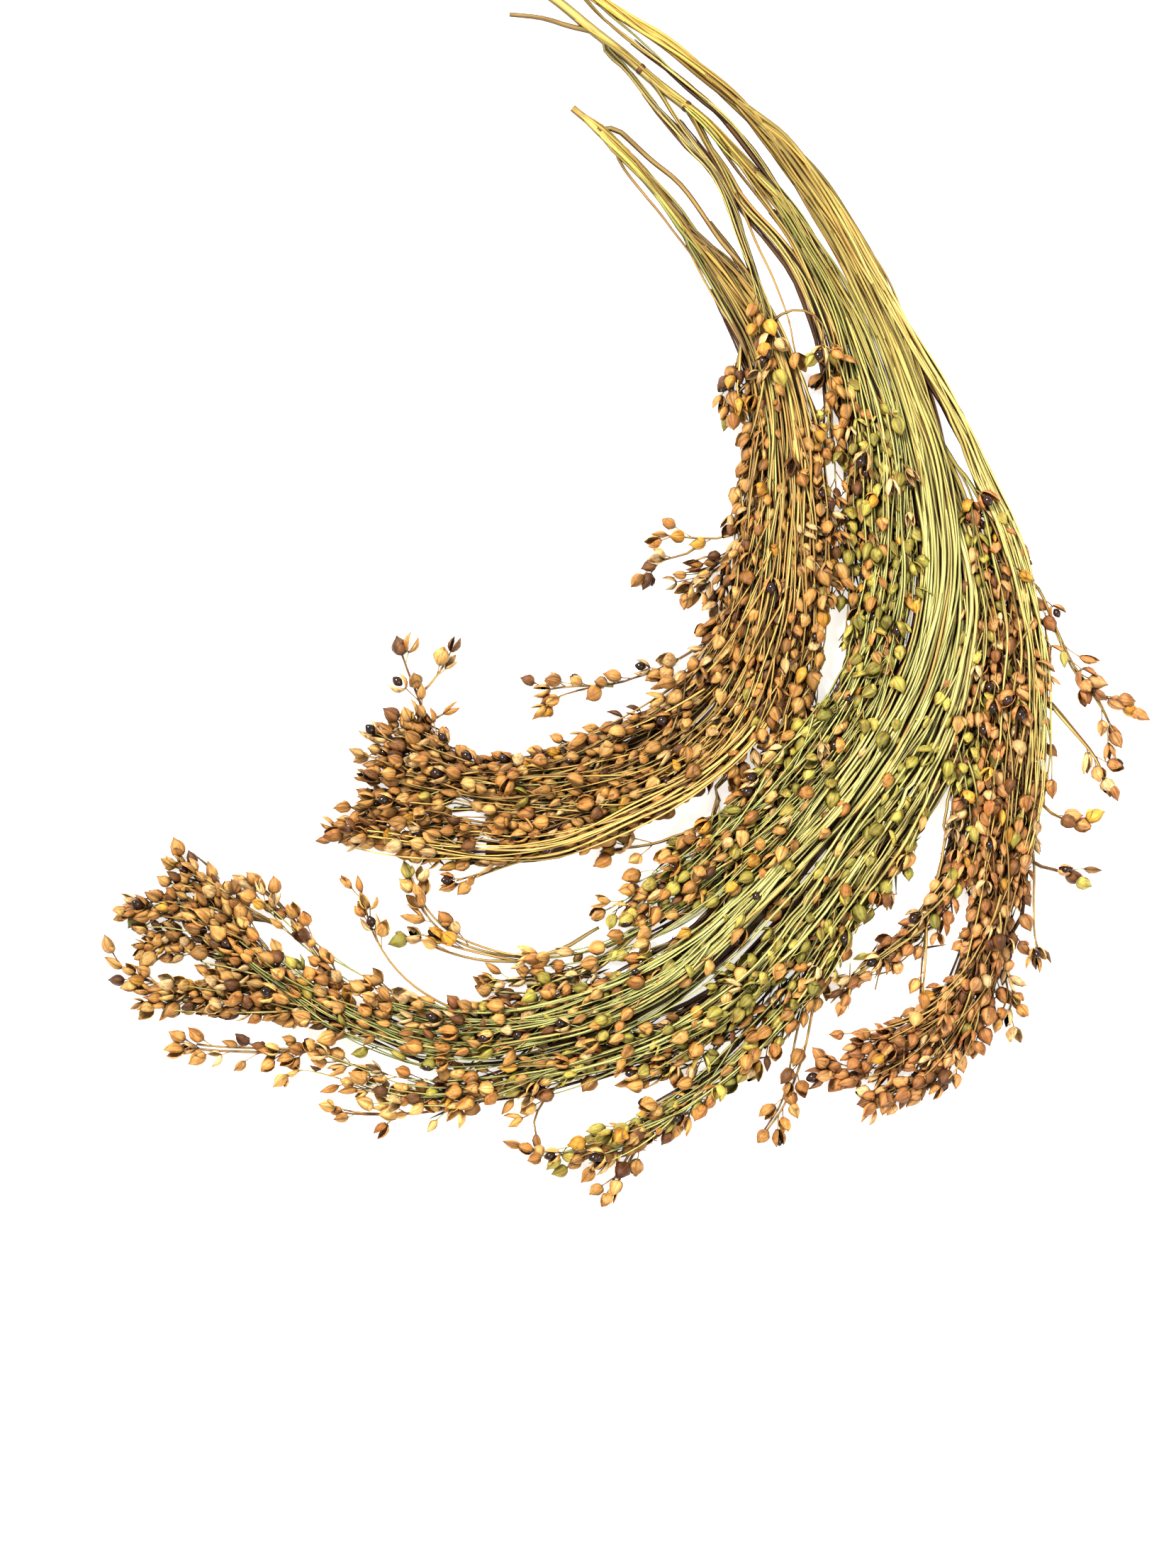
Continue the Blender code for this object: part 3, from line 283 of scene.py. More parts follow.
# %% The right panicle
RIGHT = {
    "culm": Strand(None, 1, None, (1.5, 1.7, 1.7, 1.5), (1.3, 1.4, 2.2, 4), [
        (-62, 164), (-54, 161.5), (-43, 158), (-30, 152.5), (-18, 146), (-7, 138.8), (2, 132.5),
        (11, 126.5), (20, 119.5), (28, 112.5), (34, 106.5), (39, 100.5)]),
    "side_branch": Strand("culm", 3, None, (0.5, 0.5), (1.6, 3, 4.5), [
        (-14, 141), (-5, 133), (5, 126), (12, 120.3), (19, 114), (26, 107.5), (32, 100.5), (38, 92),
        (45, 82), (52, 70)]),
    "outer": Strand("culm", 14, 0.8, (0.8, 1.3, 1.4, 2, 3, 3), (4, 6, 6, 4.4, 3, 1.6), [
        (33, 108), (41, 101.5), (49, 91), (56, 80), (63, 68), (70, 56), (76.7, 44.5), (82.8, 34),
        (88.2, 23), (93.2, 12), (98, 0), (101.2, -13), (103.5, -27), (104.5, -42), (104, -57), (102, -71),
        (99, -84)]),
    "pale_left": Strand("culm", 14, 0.62, (1, 2, 2.4, 3, 3.3, 3.4, 2.6), (4, 7, 8, 8, 6, 3.4, 1.2), [
        (32, 108.5), (39, 99), (46, 88.5), (53, 77), (59.5, 65), (65.5, 52), (70.5, 39), (74, 26),
        (76.5, 12), (77.5, -3), (76, -18), (71.5, -34), (63.5, -49), (53, -63), (42, -76), (31, -88),
        (19, -99.5), (5, -109), (-10, -116), (-27, -120), (-43, -120), (-58, -116.5), (-71, -110),
        (-82, -102), (-90, -93.5), (-98, -85)]),
    "pale_middle": Strand("culm", 14, 0.66, (1, 2, 2.6, 3.6, 4.2, 4.2, 3), (4, 7, 8, 7.4, 5, 2.8, 1.1), [
        (33, 108.5), (40, 99.5), (47.5, 88.5), (55, 77), (61.5, 65), (67.5, 52), (72.5, 39), (77, 26),
        (80, 12), (81.5, -3), (80.5, -18), (76, -34), (68.5, -49), (58.5, -63), (47.5, -76), (36, -89),
        (24.5, -101), (11, -112), (-4, -120), (-20, -125), (-36, -128), (-52, -127), (-66, -121.5),
        (-78, -114.5), (-90, -106), (-101, -97), (-112, -90)]),
    "pale_right": Strand("culm", 13, 0.5, (1, 2, 2.8, 4, 5, 4, 2.6), (4, 6, 6, 5, 3.4, 2.4, 1.1), [
        (33.5, 108), (41.5, 99.5), (49.5, 88.5), (57, 77), (64, 65), (69.5, 52), (74, 39), (77.5, 26),
        (81.2, 12), (85, -3), (86, -18), (83, -34), (77, -49), (68, -63.5), (57.5, -77.5), (47.5, -91.5),
        (37, -105), (25, -116), (11, -124), (-5, -130), (-22, -134.5), (-38, -138), (-54, -138.5),
        (-68, -134.5), (-82, -130.5), (-94, -132.5)]),
    "bottom_tail": Strand("culm", 9, 0.5, (1, 2, 2.6, 3, 3.2, 3, 2), (4, 5.4, 5, 3.8, 2.6, 1.8, 1), [
        (34, 107.5), (42.5, 99.5), (51, 88.5), (58.5, 77), (65, 65), (70, 52), (74.5, 39), (78, 26),
        (82.2, 12), (87, -3), (89.5, -18), (88, -34), (83, -50), (75.5, -66), (66, -81), (56, -95),
        (47.5, -109), (36.5, -122), (24, -134), (10, -144), (-4, -151.5), (-18, -155.5), (-32, -153)]),
    "column_left": Strand("pale_right", 5, 0.12, (0.8, 3, 3.6, 3, 2.4), (5, 4, 3, 2, 1.2), [
        (77, 32), (84, 16), (88, 0), (89, -17), (88.5, -34), (87.5, -50), (86.5, -65), (84, -79),
        (79, -91), (72, -99.5), (65, -106), (58, -115), (50.5, -122)]),
    "column_middle": Strand("bottom_tail", 6, 0.1, (0.8, 3.4, 4.6, 4.4, 3), (5, 3.6, 2.6, 1.8, 1.2), [
        (79, 30), (88, 13), (93, -5), (95.5, -21), (95, -38), (94, -54), (93.5, -70), (92.5, -85),
        (90.5, -99), (85, -111), (77, -119.5), (67, -125), (55, -128)]),
    "column_right": Strand("outer", 5, 0.12, (0.8, 2.6, 3.2, 4, 3), (5, 3.4, 2, 1.6, 1), [
        (88, 23), (94, 8), (98.5, -8), (101, -25), (101.5, -42), (101, -58), (100, -75), (97.5, -90),
        (92, -104), (86.5, -116), (79, -126), (70, -132), (58, -134), (47, -133)]),
    "tail_side": Strand("column_right", 2, 0.3, (0.4, 0.9), (1.8, 1.4, 1), [
        (97.5, -92), (96.5, -102), (97, -109), (98, -114), (96, -120)]),
    "tail_low": Strand("column_right", 3, 0.2, (0.8, 2, 2), (1.8, 1.4, 1), [
        (96, -98), (92, -112), (86, -124), (78, -133.5), (68, -139.5), (60, -141.5)]),
    "inner_fill": Strand("pale_right", 5, 0.1, (0.8, 3, 4.4, 4.4, 3), (4.4, 4, 3, 2, 1.2), [
        (80, -40), (74, -55), (65, -70), (55.5, -84), (46, -97), (36, -110), (26, -120), (14, -129),
        (0, -136)]),
    "hanging_tips": Strand("bottom_tail", 2, 0.3, (0.4, 1, 0.6), (2.4, 1.6, 1), [
        (51, -105), (47, -118), (44, -130), (40.5, -141), (36, -148), (33, -153.5)]),
    "pale_whisker": Strand("column_left", 2, 0.8, THREAD, (4, 3, 2.4), [
        (87.5, -45), (83.5, -60), (80, -75), (77.5, -90), (75.5, -106), (74, -121)]),
    "tail_fork": Strand("bottom_tail", 2, 0.2, (0.4, 1), (1.4, 1), [
        (8, -145), (2, -153), (-2, -160), (-4, -164.5)]),
    "tail_loop": Strand("pale_right", 1, 0.5, THREAD, (2, 1.4, 1), [
        (-5, -130), (-13, -135), (-20, -141), (-23, -147), (-21, -152)]),
    "head_low": Strand("pale_middle", 5, 0.2, (1, 3.4, 3.4, 2), (2.6, 2, 1.4, 1), [
        (-50, -127), (-62, -121), (-75, -117), (-89, -115.5), (-103, -114), (-116, -114.5), (-127, -116.5),
    ]),
    "head_middle": Strand("pale_middle", 4, 0.3, (1, 2.4, 2), (2.4, 1.8, 1), [
        (-72, -118), (-85, -110.5), (-97, -105.5), (-108, -102), (-117, -100.5), (-124, -99.5)]),
    "head_loop": Strand("head_low", 2, 0.25, (0.4, 0.8), (1.8, 1.4, 1), [
        (-92, -115), (-103, -111), (-114, -111), (-123, -108.5), (-129.5, -105)]),
    "head_upper": Strand("pale_middle", 4, 0.25, (0.8, 2.4, 1.6), (2.4, 1.8, 1), [
        (-85, -110), (-95, -100), (-104, -94), (-113, -92), (-121, -92), (-128, -94)]),
    "head_top": Strand("pale_left", 4, 0.2, (0.8, 2.4, 2), (2, 1.6, 1), [
        (-88, -97), (-97, -93.5), (-105, -88), (-110, -84), (-114, -80.5)]),
    "head_side": Strand("pale_left", 2, 0.3, (0.4, 0.8), (2, 1.6, 1), [
        (-74, -108), (-79, -101), (-85, -93), (-91, -87.5), (-98, -84)]),
    "low_spray": Strand("head_low", 2, 0.25, (0.4, 1), (1.8, 1.4, 1), [
        (-62, -122), (-72, -125.5), (-82, -128), (-95, -128), (-105, -127), (-114, -125)]),
    "lowest_spray": Strand("pale_right", 2, 0.3, (0.4, 0.8), (1.8, 1.4, 1), [
        (-22, -134.5), (-34, -139.5), (-46, -142.5), (-56, -144), (-67, -144.3), (-77, -142)]),
    "long_whisker": Strand("pale_left", 1, 0.62, THREAD, (2.6, 2, 1.6, 1.2), [
        (-30, -119.5), (-42, -117.5), (-51, -112.5), (-58, -105.5), (-63.5, -97), (-66.5, -88), (-68, -82),
    ]),
    "side_tips_upper": Strand("outer", 2, 0.15, (0.4, 0.8), (3.4, 2.4, 1), [
        (101, -8), (106, -12), (110, -21), (114, -31), (119, -38), (123, -45), (125.5, -51)]),
    "side_tips_far": Strand("side_tips_upper", 1, 0.3, THREAD, (1.6, 1.2, 1), [
        (116, -34), (120, -37.5), (125, -40), (130, -41.5)]),
    "side_tips_middle": Strand("outer", 2, 0.5, (0.4, 0.6), (3, 2.4, 1.6, 1), [
        (105, -36), (110, -41), (115, -47), (119.5, -53), (122, -58), (123, -62)]),
    "side_tips_low": Strand("outer", 2, 0.25, (0.4, 0.6), (2.4, 1.6, 1), [
        (104, -60), (107, -66.5), (112, -69.5), (117, -70.5)]),
    "side_tips_lowest": Strand("outer", 2, 0.3, (0.4, 0.6), (2.4, 1.6, 1), [
        (101.5, -77), (106, -80.5), (110.5, -82), (115, -84)]),
    "side_whisker": Strand("outer", 1, 0.72, THREAD, (2, 1.6, 1.2, 1), [
        (103, -71), (104, -82), (103.5, -92), (104, -99), (106.5, -105)]),
}
print("right panicle:", len(RIGHT), "strands")

# %% [markdown]
# ## From a few points to a line
#
# A route has a point every centimetre or so. A smooth cubic curve passes through all of
# them without corners, and even steps along it make the later sums easy. A branch begins
# on its parent, so its first points are drawn over to the parent's line.

# %% Curves
LINE_STEP = 3.0
CURVE_STEPS = 12
ROOT_POINTS = 8


def between(values, share):
    """The value at a share from 0 to 1 of a row of evenly spaced values."""
    place = min(max(share, 0), 1) * (len(values) - 1)
    first = min(int(place), len(values) - 2)
    return values[first] + (values[first + 1] - values[first]) * (place - first)


def smooth_curve(points):
    """Many points on a smooth curve through the given ones."""
    ends = [points[0] * 2 - points[1], *points, points[-1] * 2 - points[-2]]
    curve = []
    for a, b, c, d in zip(ends, ends[1:], ends[2:], ends[3:]):
        for k in range(CURVE_STEPS):
            t = k / CURVE_STEPS
            curve.append(
                (b * 2 + (c - a) * t + (a * 2 - b * 5 + c * 4 - d) * t ** 2
                 + (b * 3 - a - c * 3 + d) * t ** 3) / 2
            )
    return [*curve, points[-1]]


def even_points(curve, step):
    """Points along a curve at even distances of about one step, ends included."""
    lengths = [0]
    for a, b in zip(curve, curve[1:]):
        lengths.append(lengths[-1] + (b - a).length)
    count = max(2, round(lengths[-1] / step))
    found, place = [], 0
    for k in range(count + 1):
        wanted = lengths[-1] * k / count
        while place < len(curve) - 2 and lengths[place + 1] < wanted:
            place += 1
        share = (wanted - lengths[place]) / (lengths[place + 1] - lengths[place])
        found.append(curve[place].lerp(curve[place + 1], share))
    return found


def centre_line(strand, lines):
    """The strand's line in space, which starts on its parent's line."""
    flat = even_points(smooth_curve([Vector((x, y, 0)) for x, y in strand.route]), LINE_STEP)
    last = len(flat) - 1
    line = [Vector((p.x, p.y, between(strand.heights, k / last))) for k, p in enumerate(flat)]
    if strand.grows_from:
        root = min(lines[strand.grows_from], key=lambda p: (p.xy - line[0].xy).length)
        shift = root - line[0]
        fade = min(ROOT_POINTS, last)
        for k in range(fade):
            line[k] += shift * (1 - k / fade)
    return line


print("half of the way from 2 to 6:", between((2, 6), 0.5))

# %% [markdown]
# ## One panicle over another
#
# The panicles were laid down one after the other, so a later strand climbs over what is
# already there: wherever it would touch a strand below, its line is raised, with a gentle
# slope on both sides. A k-d tree finds the spots close by without a look at all of them.

# %% The heap
STRAND_FLATNESS = 0.37
STEM_RADIUS = 0.5
CLEARANCE = 0.25
LIFT_SLOPE = 0.3


class Below:
    """The strands of the panicles that are laid down already."""

    def __init__(self):
        self.spots = []
        self.settle()

    def add(self, line, widths):
        """Keeps the points of a strand's line with its half-widths there."""
        last = len(line) - 1
        self.spots += [(p, between(widths, k / last)) for k, p in enumerate(line)]

    def settle(self):
        """Sorts all the spots, so that those near a place are found fast."""
        self.widest = max((width for _, width in self.spots), default=0)
        self.tree = KDTree(len(self.spots))
        for k, (p, _) in enumerate(self.spots):
            self.tree.insert((p.x, p.y, 0), k)
        self.tree.balance()

    def height_over(self, p, own):
        """How high a strand has to pass at a point, with its half-width there."""
        height = p.z
        for _, number, _ in self.tree.find_range((p.x, p.y, 0), own + self.widest + CLEARANCE):
            q, theirs = self.spots[number]
            reach = own + theirs + CLEARANCE
            apart = (p.xy - q.xy).length
            if apart < reach:
                thickness = (own + theirs) * STRAND_FLATNESS + 2 * STEM_RADIUS + CLEARANCE
                height = max(height, q.z + thickness * math.sqrt(1 - (apart / reach) ** 2))
        return height

    def lift(self, line, widths):
        """Raises a strand's line over what lies below it."""
        last = len(line) - 1
        wanted = [self.height_over(p, between(widths, k / last)) for k, p in enumerate(line)]
        for k, p in enumerate(line):
            p.z = max(height - LIFT_SLOPE * LINE_STEP * abs(j - k) for j, height in enumerate(wanted))


print("a raised strand climbs", LIFT_SLOPE, "mm in each mm")

# %% Laying the three panicles
PANICLES = {"left": LEFT, "middle": MIDDLE, "right": RIGHT}
heap = Below()
lines = {}
for side, strands in PANICLES.items():
    lines[side] = {}
    for title, strand in strands.items():
        lines[side][title] = centre_line(strand, lines[side])
        heap.lift(lines[side][title], strand.widths)
    for title, strand in strands.items():
        heap.add(lines[side][title], strand.widths)
    heap.settle()
    highest = max(p.z for line in lines[side].values() for p in line)
    print(side, "panicle: highest line at", round(highest, 1), "mm")

# %% [markdown]
# ## Gathering small shapes into a few meshes
#
# A scene with thousands of objects is slow to work with, while one mesh with as many small
# shapes in it isn't. So each kind of piece has a gatherer. Beside the points it keeps what
# the finish needs to know at every point: the colour of that very stem or husk, where the
# point is round and along it, and how far it is from foot (0) to tip (1).

# %% The gatherer
MOST_TRIANGLES = 180_000
LOWEST = 0.02


class Gather:
    """Many small shapes that end as one mesh, or as a few where there are too many."""

    def __init__(self, name, slot, node, material):
        self.name, self.slot, self.node, self.material = name, slot, node, material
        self.made = 0
        self.clear()

    def clear(self):
        """Begins an empty mesh."""
        self.points, self.faces, self.hues, self.ways, self.reaches = [], [], [], [], []
        self.count = self.triangles = 0

    def add(self, points, faces, hues, ways, reaches):
        """Takes in one small shape; hues: one colour for all of it, or one for each point."""
        triangles = sum(len(face) - 2 for face in faces)
        points[:, 2] = np.maximum(points[:, 2], LOWEST)
        if self.triangles + triangles > MOST_TRIANGLES:
            self.finish()
        self.faces += [tuple(corner + self.count for corner in face) for face in faces]
        self.points.append(points)
        hues = np.append(hues, 1) if np.ndim(hues) == 1 else hues
        self.hues.append(np.broadcast_to(hues, (len(points), 4)))
        self.ways.append(ways)
        self.reaches.append(reaches)
        self.count += len(points)
        self.triangles += triangles

    def finish(self):
        """Makes a mesh of what is gathered and gives it the place of its solid."""
        if not self.count:
            return
        self.made += 1
        mesh = bpy.data.meshes.new(f"{self.name}_{self.made}")
        mesh.from_pydata(np.concatenate(self.points) * MM, [], self.faces)
        mesh.polygons.foreach_set("use_smooth", [True] * len(mesh.polygons))
        for title, kind, key, values in (
            ("hue", "FLOAT_COLOR", "color", self.hues),
            ("way", "FLOAT_VECTOR", "vector", self.ways),
            ("reach", "FLOAT", "value", self.reaches),
        ):
            kept = mesh.attributes.new(title, kind, "POINT")
            kept.data.foreach_set(key, np.concatenate(values).astype(np.float32).ravel())
        mesh.materials.append(self.material)
        piece = bpy.data.objects.new(mesh.name, mesh)
        bpy.context.scene.collection.objects.link(piece)
        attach(piece, "root")
        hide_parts(self.node)
        print(piece.name, self.triangles, "triangles")
        self.clear()


print("a mesh holds up to", MOST_TRIANGLES, "triangles")

# %% [markdown]
# ## The finish of straw
#
# A dry grass stem is ribbed from end to end, with a soft wax gloss. Noise that is stretched
# along the stem gives both the ribs, as bump, and the paler and darker streaks. Its place
# comes from the stem itself and not from the room, so the ribs bend with the stem.

# %% Ribs and shade
# The painted shade in crevices is found with this many rays
SHADE_RAYS = 4
# How open a place is where its shade is deepest, and where it ends
OPEN_FROM, OPEN_FULL = 0.15, 0.75
# The sockets of a mix node that hold its two colours and the result
FIRST_COLOUR, OTHER_COLOUR, MIXED_COLOUR = 6, 7, 2


class DryFinish(Finish):
    """A finish in each piece's own colour, which streaks and painted shade make darker."""

    def kept(self, name, socket):
        """What the mesh keeps at each point under a name."""
        node = self.nodes.new("ShaderNodeAttribute")
        node.attribute_name = name
        return node.outputs[socket]

    def streaks(self, stretch, scale, detail):
        """Noise that runs along a stem or a husk."""
        place = self.nodes.new("ShaderNodeVectorMath")
        place.operation = "MULTIPLY"
        place.inputs[1].default_value = stretch
        self.links.new(self.kept("way", "Vector"), place.inputs[0])
        noise = self.nodes.new("ShaderNodeTexNoise")
        noise.inputs["Scale"].default_value = scale
        noise.inputs["Detail"].default_value = detail
        self.links.new(place.outputs["Vector"], noise.inputs["Vector"])
        return noise.outputs["Fac"]

    def ramp(self, source, *stops):
        """Colours along a value, as stops of a place and a grey or a colour."""
        node = self.nodes.new("ShaderNodeValToRGB")
        scale = node.color_ramp
        while len(scale.elements) < len(stops):
            scale.elements.new(0.5)
        for element, (place, colour) in zip(scale.elements, stops):
            element.position = place
            element.color = (*colour, 1) if isinstance(colour, tuple) else (*[colour] * 3, 1)
        self.links.new(source, node.inputs["Fac"])
        return node.outputs["Color"]

    def painted_crevice_shading(self, distance, deep):
        """Painted shade: full light in the open, and the deep colour where something is closer than a
        distance.
        """
        node = self.nodes.new("ShaderNodeAmbientOcclusion")
        node.samples = SHADE_RAYS
        node.inputs["Distance"].default_value = distance
        return self.ramp(node.outputs["AO"], (OPEN_FROM, deep), (OPEN_FULL, 1.0))

    def colour(self, first, *others):
        """One colour darkened by the others, one after the other."""
        for other in others:
            mix = self.nodes.new("ShaderNodeMix")
            mix.data_type = "RGBA"
            mix.blend_type = "MULTIPLY"
            mix.inputs["Factor"].default_value = 1
            self.links.new(first, mix.inputs[FIRST_COLOUR])
            self.links.new(other, mix.inputs[OTHER_COLOUR])
            first = mix.outputs[MIXED_COLOUR]
        self.links.new(first, self.shader.inputs["Base Color"])

    def relief(self, source, height, strength):
        """Small relief that follows a value; height in metres."""
        node = self.nodes.new("ShaderNodeBump")
        node.inputs["Distance"].default_value = height
        node.inputs["Strength"].default_value = strength
        self.links.new(source, node.inputs["Height"])
        self.links.new(node.outputs["Normal"], self.shader.inputs["Normal"])


print("ribs, shade and relief are at hand")

# %% Straw
# Painted shade on the flanks of stems and in crevices; the patches are the straw's own colour
PAINTED_FLANK_SHADE, PAINTED_CREVICE_SHADE, PATCH_BROWN = (0.32, 0.24, 0.14), (0.14, 0.09, 0.05), (0.55, 0.44, 0.32)


def painted_flank_shading(finish):
    """Painted shade along both flanks of a stem."""
    parts = finish.nodes.new("ShaderNodeSeparateXYZ")
    finish.links.new(finish.kept("way", "Vector"), parts.inputs[0])
    flank = finish.nodes.new("ShaderNodeMath")
    flank.operation = "ABSOLUTE"
    finish.links.new(parts.outputs["X"], flank.inputs[0])
    return finish.ramp(flank.outputs[0], (0.35, 1.0), (0.9, PAINTED_FLANK_SHADE))


def straw(name):
    """Dry straw with ribs and patches, with painted shade along its flanks and in brown where stems crowd.
    """
    finish = DryFinish(name)
    ribs = finish.streaks(stretch=(3.4, 3.4, 0.05), scale=1.0, detail=2)
    patches = finish.streaks(stretch=(0.9, 0.9, 0.11), scale=1.0, detail=3)
    finish.colour(
        finish.kept("hue", "Color"),
        finish.ramp(ribs, (0.3, 0.42), (0.5, 0.92), (0.68, 1.15)),
        painted_flank_shading(finish),
        finish.painted_crevice_shading(distance=0.002, deep=PAINTED_CREVICE_SHADE),
        finish.ramp(patches, (0.3, PATCH_BROWN), (0.5, 1.0)),
    )
    finish.relief(ribs, height=0.00012, strength=0.8)
    finish.fix({"Roughness": 0.5, "Specular IOR Level": 0.35})
    return finish.material


straw_finish = straw("dry_ribbed_straw")
print("straw: streaked along each stem")

# %% [markdown]
# ## The finish of husks and grains
#
# A husk is a papery scale with fine nerves that run from its foot to its tip. Its foot is
# darkened as painted shade, and its tip is darker and browner. The grain inside is hard and
# very glossy, nearly black with red in it.

# %% Papery husks
# Blotches are the husk's own colour; the crevices between husks get painted shade
BLOTCH_BROWN, PAINTED_HUSK_CREVICE_SHADE = (0.6, 0.47, 0.36), (0.1, 0.055, 0.03)
# How light a husk is from its foot (0) to its tip (1): painted shade at the foot, and a darker, browner tip
FOOT_TO_TIP = ((0.0, 0.4), (0.16, 0.9), (0.4, 1.0), (0.8, 0.98), (1.0, (0.62, 0.52, 0.44)))


def papery(name):
    """Papery scales with nerves and blotches, a darker, browner tip, and painted shade at the foot and in
    crevices.
    """
    finish = DryFinish(name)
    nerves = finish.streaks(stretch=(2.6, 2.6, 0.25), scale=1.5, detail=2)
    blotches = finish.streaks(stretch=(0.8, 0.8, 1.0), scale=1.1, detail=3)
    finish.colour(
        finish.kept("hue", "Color"),
        finish.ramp(nerves, (0.32, 0.5), (0.48, 0.94), (0.66, 1.18)),
        finish.ramp(blotches, (0.34, BLOTCH_BROWN), (0.54, 1.0)),
        finish.ramp(finish.kept("reach", "Fac"), *FOOT_TO_TIP),
        finish.painted_crevice_shading(distance=0.0024, deep=PAINTED_HUSK_CREVICE_SHADE),
    )
    finish.relief(nerves, height=0.00018, strength=0.9)
    finish.fix({"Roughness": 0.52, "Specular IOR Level": 0.3})
    return finish.material


husk_finish = papery("papery_husk")
print("husks: nerves, blotches and dark ends")

# %% Shiny grains
GRAIN_BLACK, GRAIN_RED = (0.006, 0.003, 0.002), (0.04, 0.012, 0.006)


def shiny_grain(name):
    """The hard skin of a grain, nearly black with clouds of dark red."""
    finish = DryFinish(name)
    clouds = finish.streaks(stretch=(0.7, 0.7, 0.7), scale=1.0, detail=2)
    finish.colour(finish.ramp(clouds, (0.35, GRAIN_BLACK), (0.7, GRAIN_RED)))
    finish.fix({"Roughness": 0.12, "Specular IOR Level": 0.35, "Coat Weight": 0.2, "Coat Roughness": 0.08})
    return finish.material


grain_finish = shiny_grain("shiny_dark_grain")
print("grains: dark and glossy")

# %% [markdown]
# ## Stems
#
# A stem is a thin tube round a line. Real stems don't keep their place in a tress: each
# wavers a little and wanders across its neighbours, and they stop one by one. Sine waves
# of a few lengths give that, and the same seed gives the same stems each time.

# %% A tube
NEARLY_NONE = 1e-6


def ring_faces(rings, sides):
    """The faces of rings of points, closed at both ends."""
    faces = [
        (k * sides + j, k * sides + (j + 1) % sides, (k + 1) * sides + (j + 1) % sides, (k + 1) * sides + j)
        for k in range(rings - 1) for j in range(sides)
    ]
    return faces + [tuple(reversed(range(sides))), tuple((rings - 1) * sides + j for j in range(sides))]


def tube(line, radii, sides, flatness=1.0):
    """Points, faces, ways and reaches of a tube round a line, closed at both ends."""
    line = np.asarray(line, float)
    radii = np.asarray(radii, float)
    ahead = np.gradient(line, axis=0)
    ahead /= np.linalg.norm(ahead, axis=1, keepdims=True)
    side = np.cross(ahead, (0, 0, 1))
    side /= np.maximum(np.linalg.norm(side, axis=1, keepdims=True), NEARLY_NONE)
    over = np.cross(side, ahead)
    angles = np.arange(sides) * math.tau / sides
    ring = np.stack([np.cos(angles), np.sin(angles) * flatness], 1)
    points = line[:, None] + radii[:, None, None] * (
        side[:, None] * ring[None, :, :1] + over[:, None] * ring[None, :, 1:]
    )
    rings = len(line)
    along = np.concatenate([[0], np.cumsum(np.linalg.norm(np.diff(line, axis=0), axis=1))])
    ways = np.stack(
        [np.tile(np.cos(angles), rings), np.tile(np.sin(angles), rings), np.repeat(along, sides)], 1
    )
    return points.reshape(-1, 3), ring_faces(rings, sides), ways, np.repeat(along / along[-1], sides)


print("a tube:", len(tube([(0, 0, 0), (0, 1, 0), (0, 2, 0)], [1, 1, 1], 6)[0]), "points")

# %% The colours of straw
STRAW = np.array(srgb(218, 180, 98))
GOLD_STRAW = np.array(srgb(176, 142, 60))
PALE_GREEN = np.array(srgb(200, 204, 124))
DEEP_GREEN = np.array(srgb(128, 140, 74))
DRY_BROWN = np.array(srgb(120, 80, 40))
BY_TONE = (DRY_BROWN, STRAW, PALE_GREEN, DEEP_GREEN)

# The tones of the stems of each strand or panicle, evenly spaced along it: dry brown at -1,
# straw at 0, pale green at 1 and deep green at 2
TONES = {
    "left": (0.2, 0.25, 0.1, 0, -0.1),
    "band_upper": (0.2, 0.2, 0, -0.2, -0.3),
    "middle": (0.4, 0.5, 0.6, 0.9),
    "right": (0.3, 0.6, 0.8, 0.6),
    "outer": (0.1, 0.3, 0.6, 0.7, 0.5, 0.3),
    "green_edge": (0.3, 0.7, 0.9, 1, 1.2, 1.3),
    "green_middle": (0.3, 0.8, 1, 1, 1.2, 1.5),
    "green_inner": (0.3, 0.9, 1, 1, 1.2, 1.6),
    "pale_left": (0.2, 0.6, 1, 0.9, 1.2, 1.7, 1.5),
    "pale_middle": (0.1, 0.45, 0.9, 0.85, 1.2, 1.7, 1.3),
    "pale_right": (0.1, 0.4, 0.8, 0.8, 0.9, 1.2, 0.8),
    "bottom_tail": (0.1, 0.3, 0.6, 0.7, 0.8, 1.2, 1.2),
    "column_left": (0.7, 0.5, 0.3),
    "column_middle": (0.7, 0.5, 0, -0.2),
    "column_right": (0.4, 0.2, -0.2, -0.3),
    "tail_low": (-0.2, -0.3),
    "band_straw": (0.1, 0, 0, 0.1, 0.2),
    "dry_branch": (-0.85, -1),
    "arch": (0.1, 0.2),
}
SPRAY_TONES = (0.1, -0.3, -0.45)


def straw_colour(tone):
    """The colour of one point of a stem, from its tone."""
    return between(BY_TONE, (tone + 1) / (len(BY_TONE) - 1))


print("tones for", len(TONES), "strands and panicles")

# %% [markdown]
# ## The openings
#
# Here and there the stems part and the floor shows. Round each opening lies a circle that no
# husk may enter. A stem that would cross it is pushed aside, the most where it comes nearest,
# so it goes round in a soft bow.

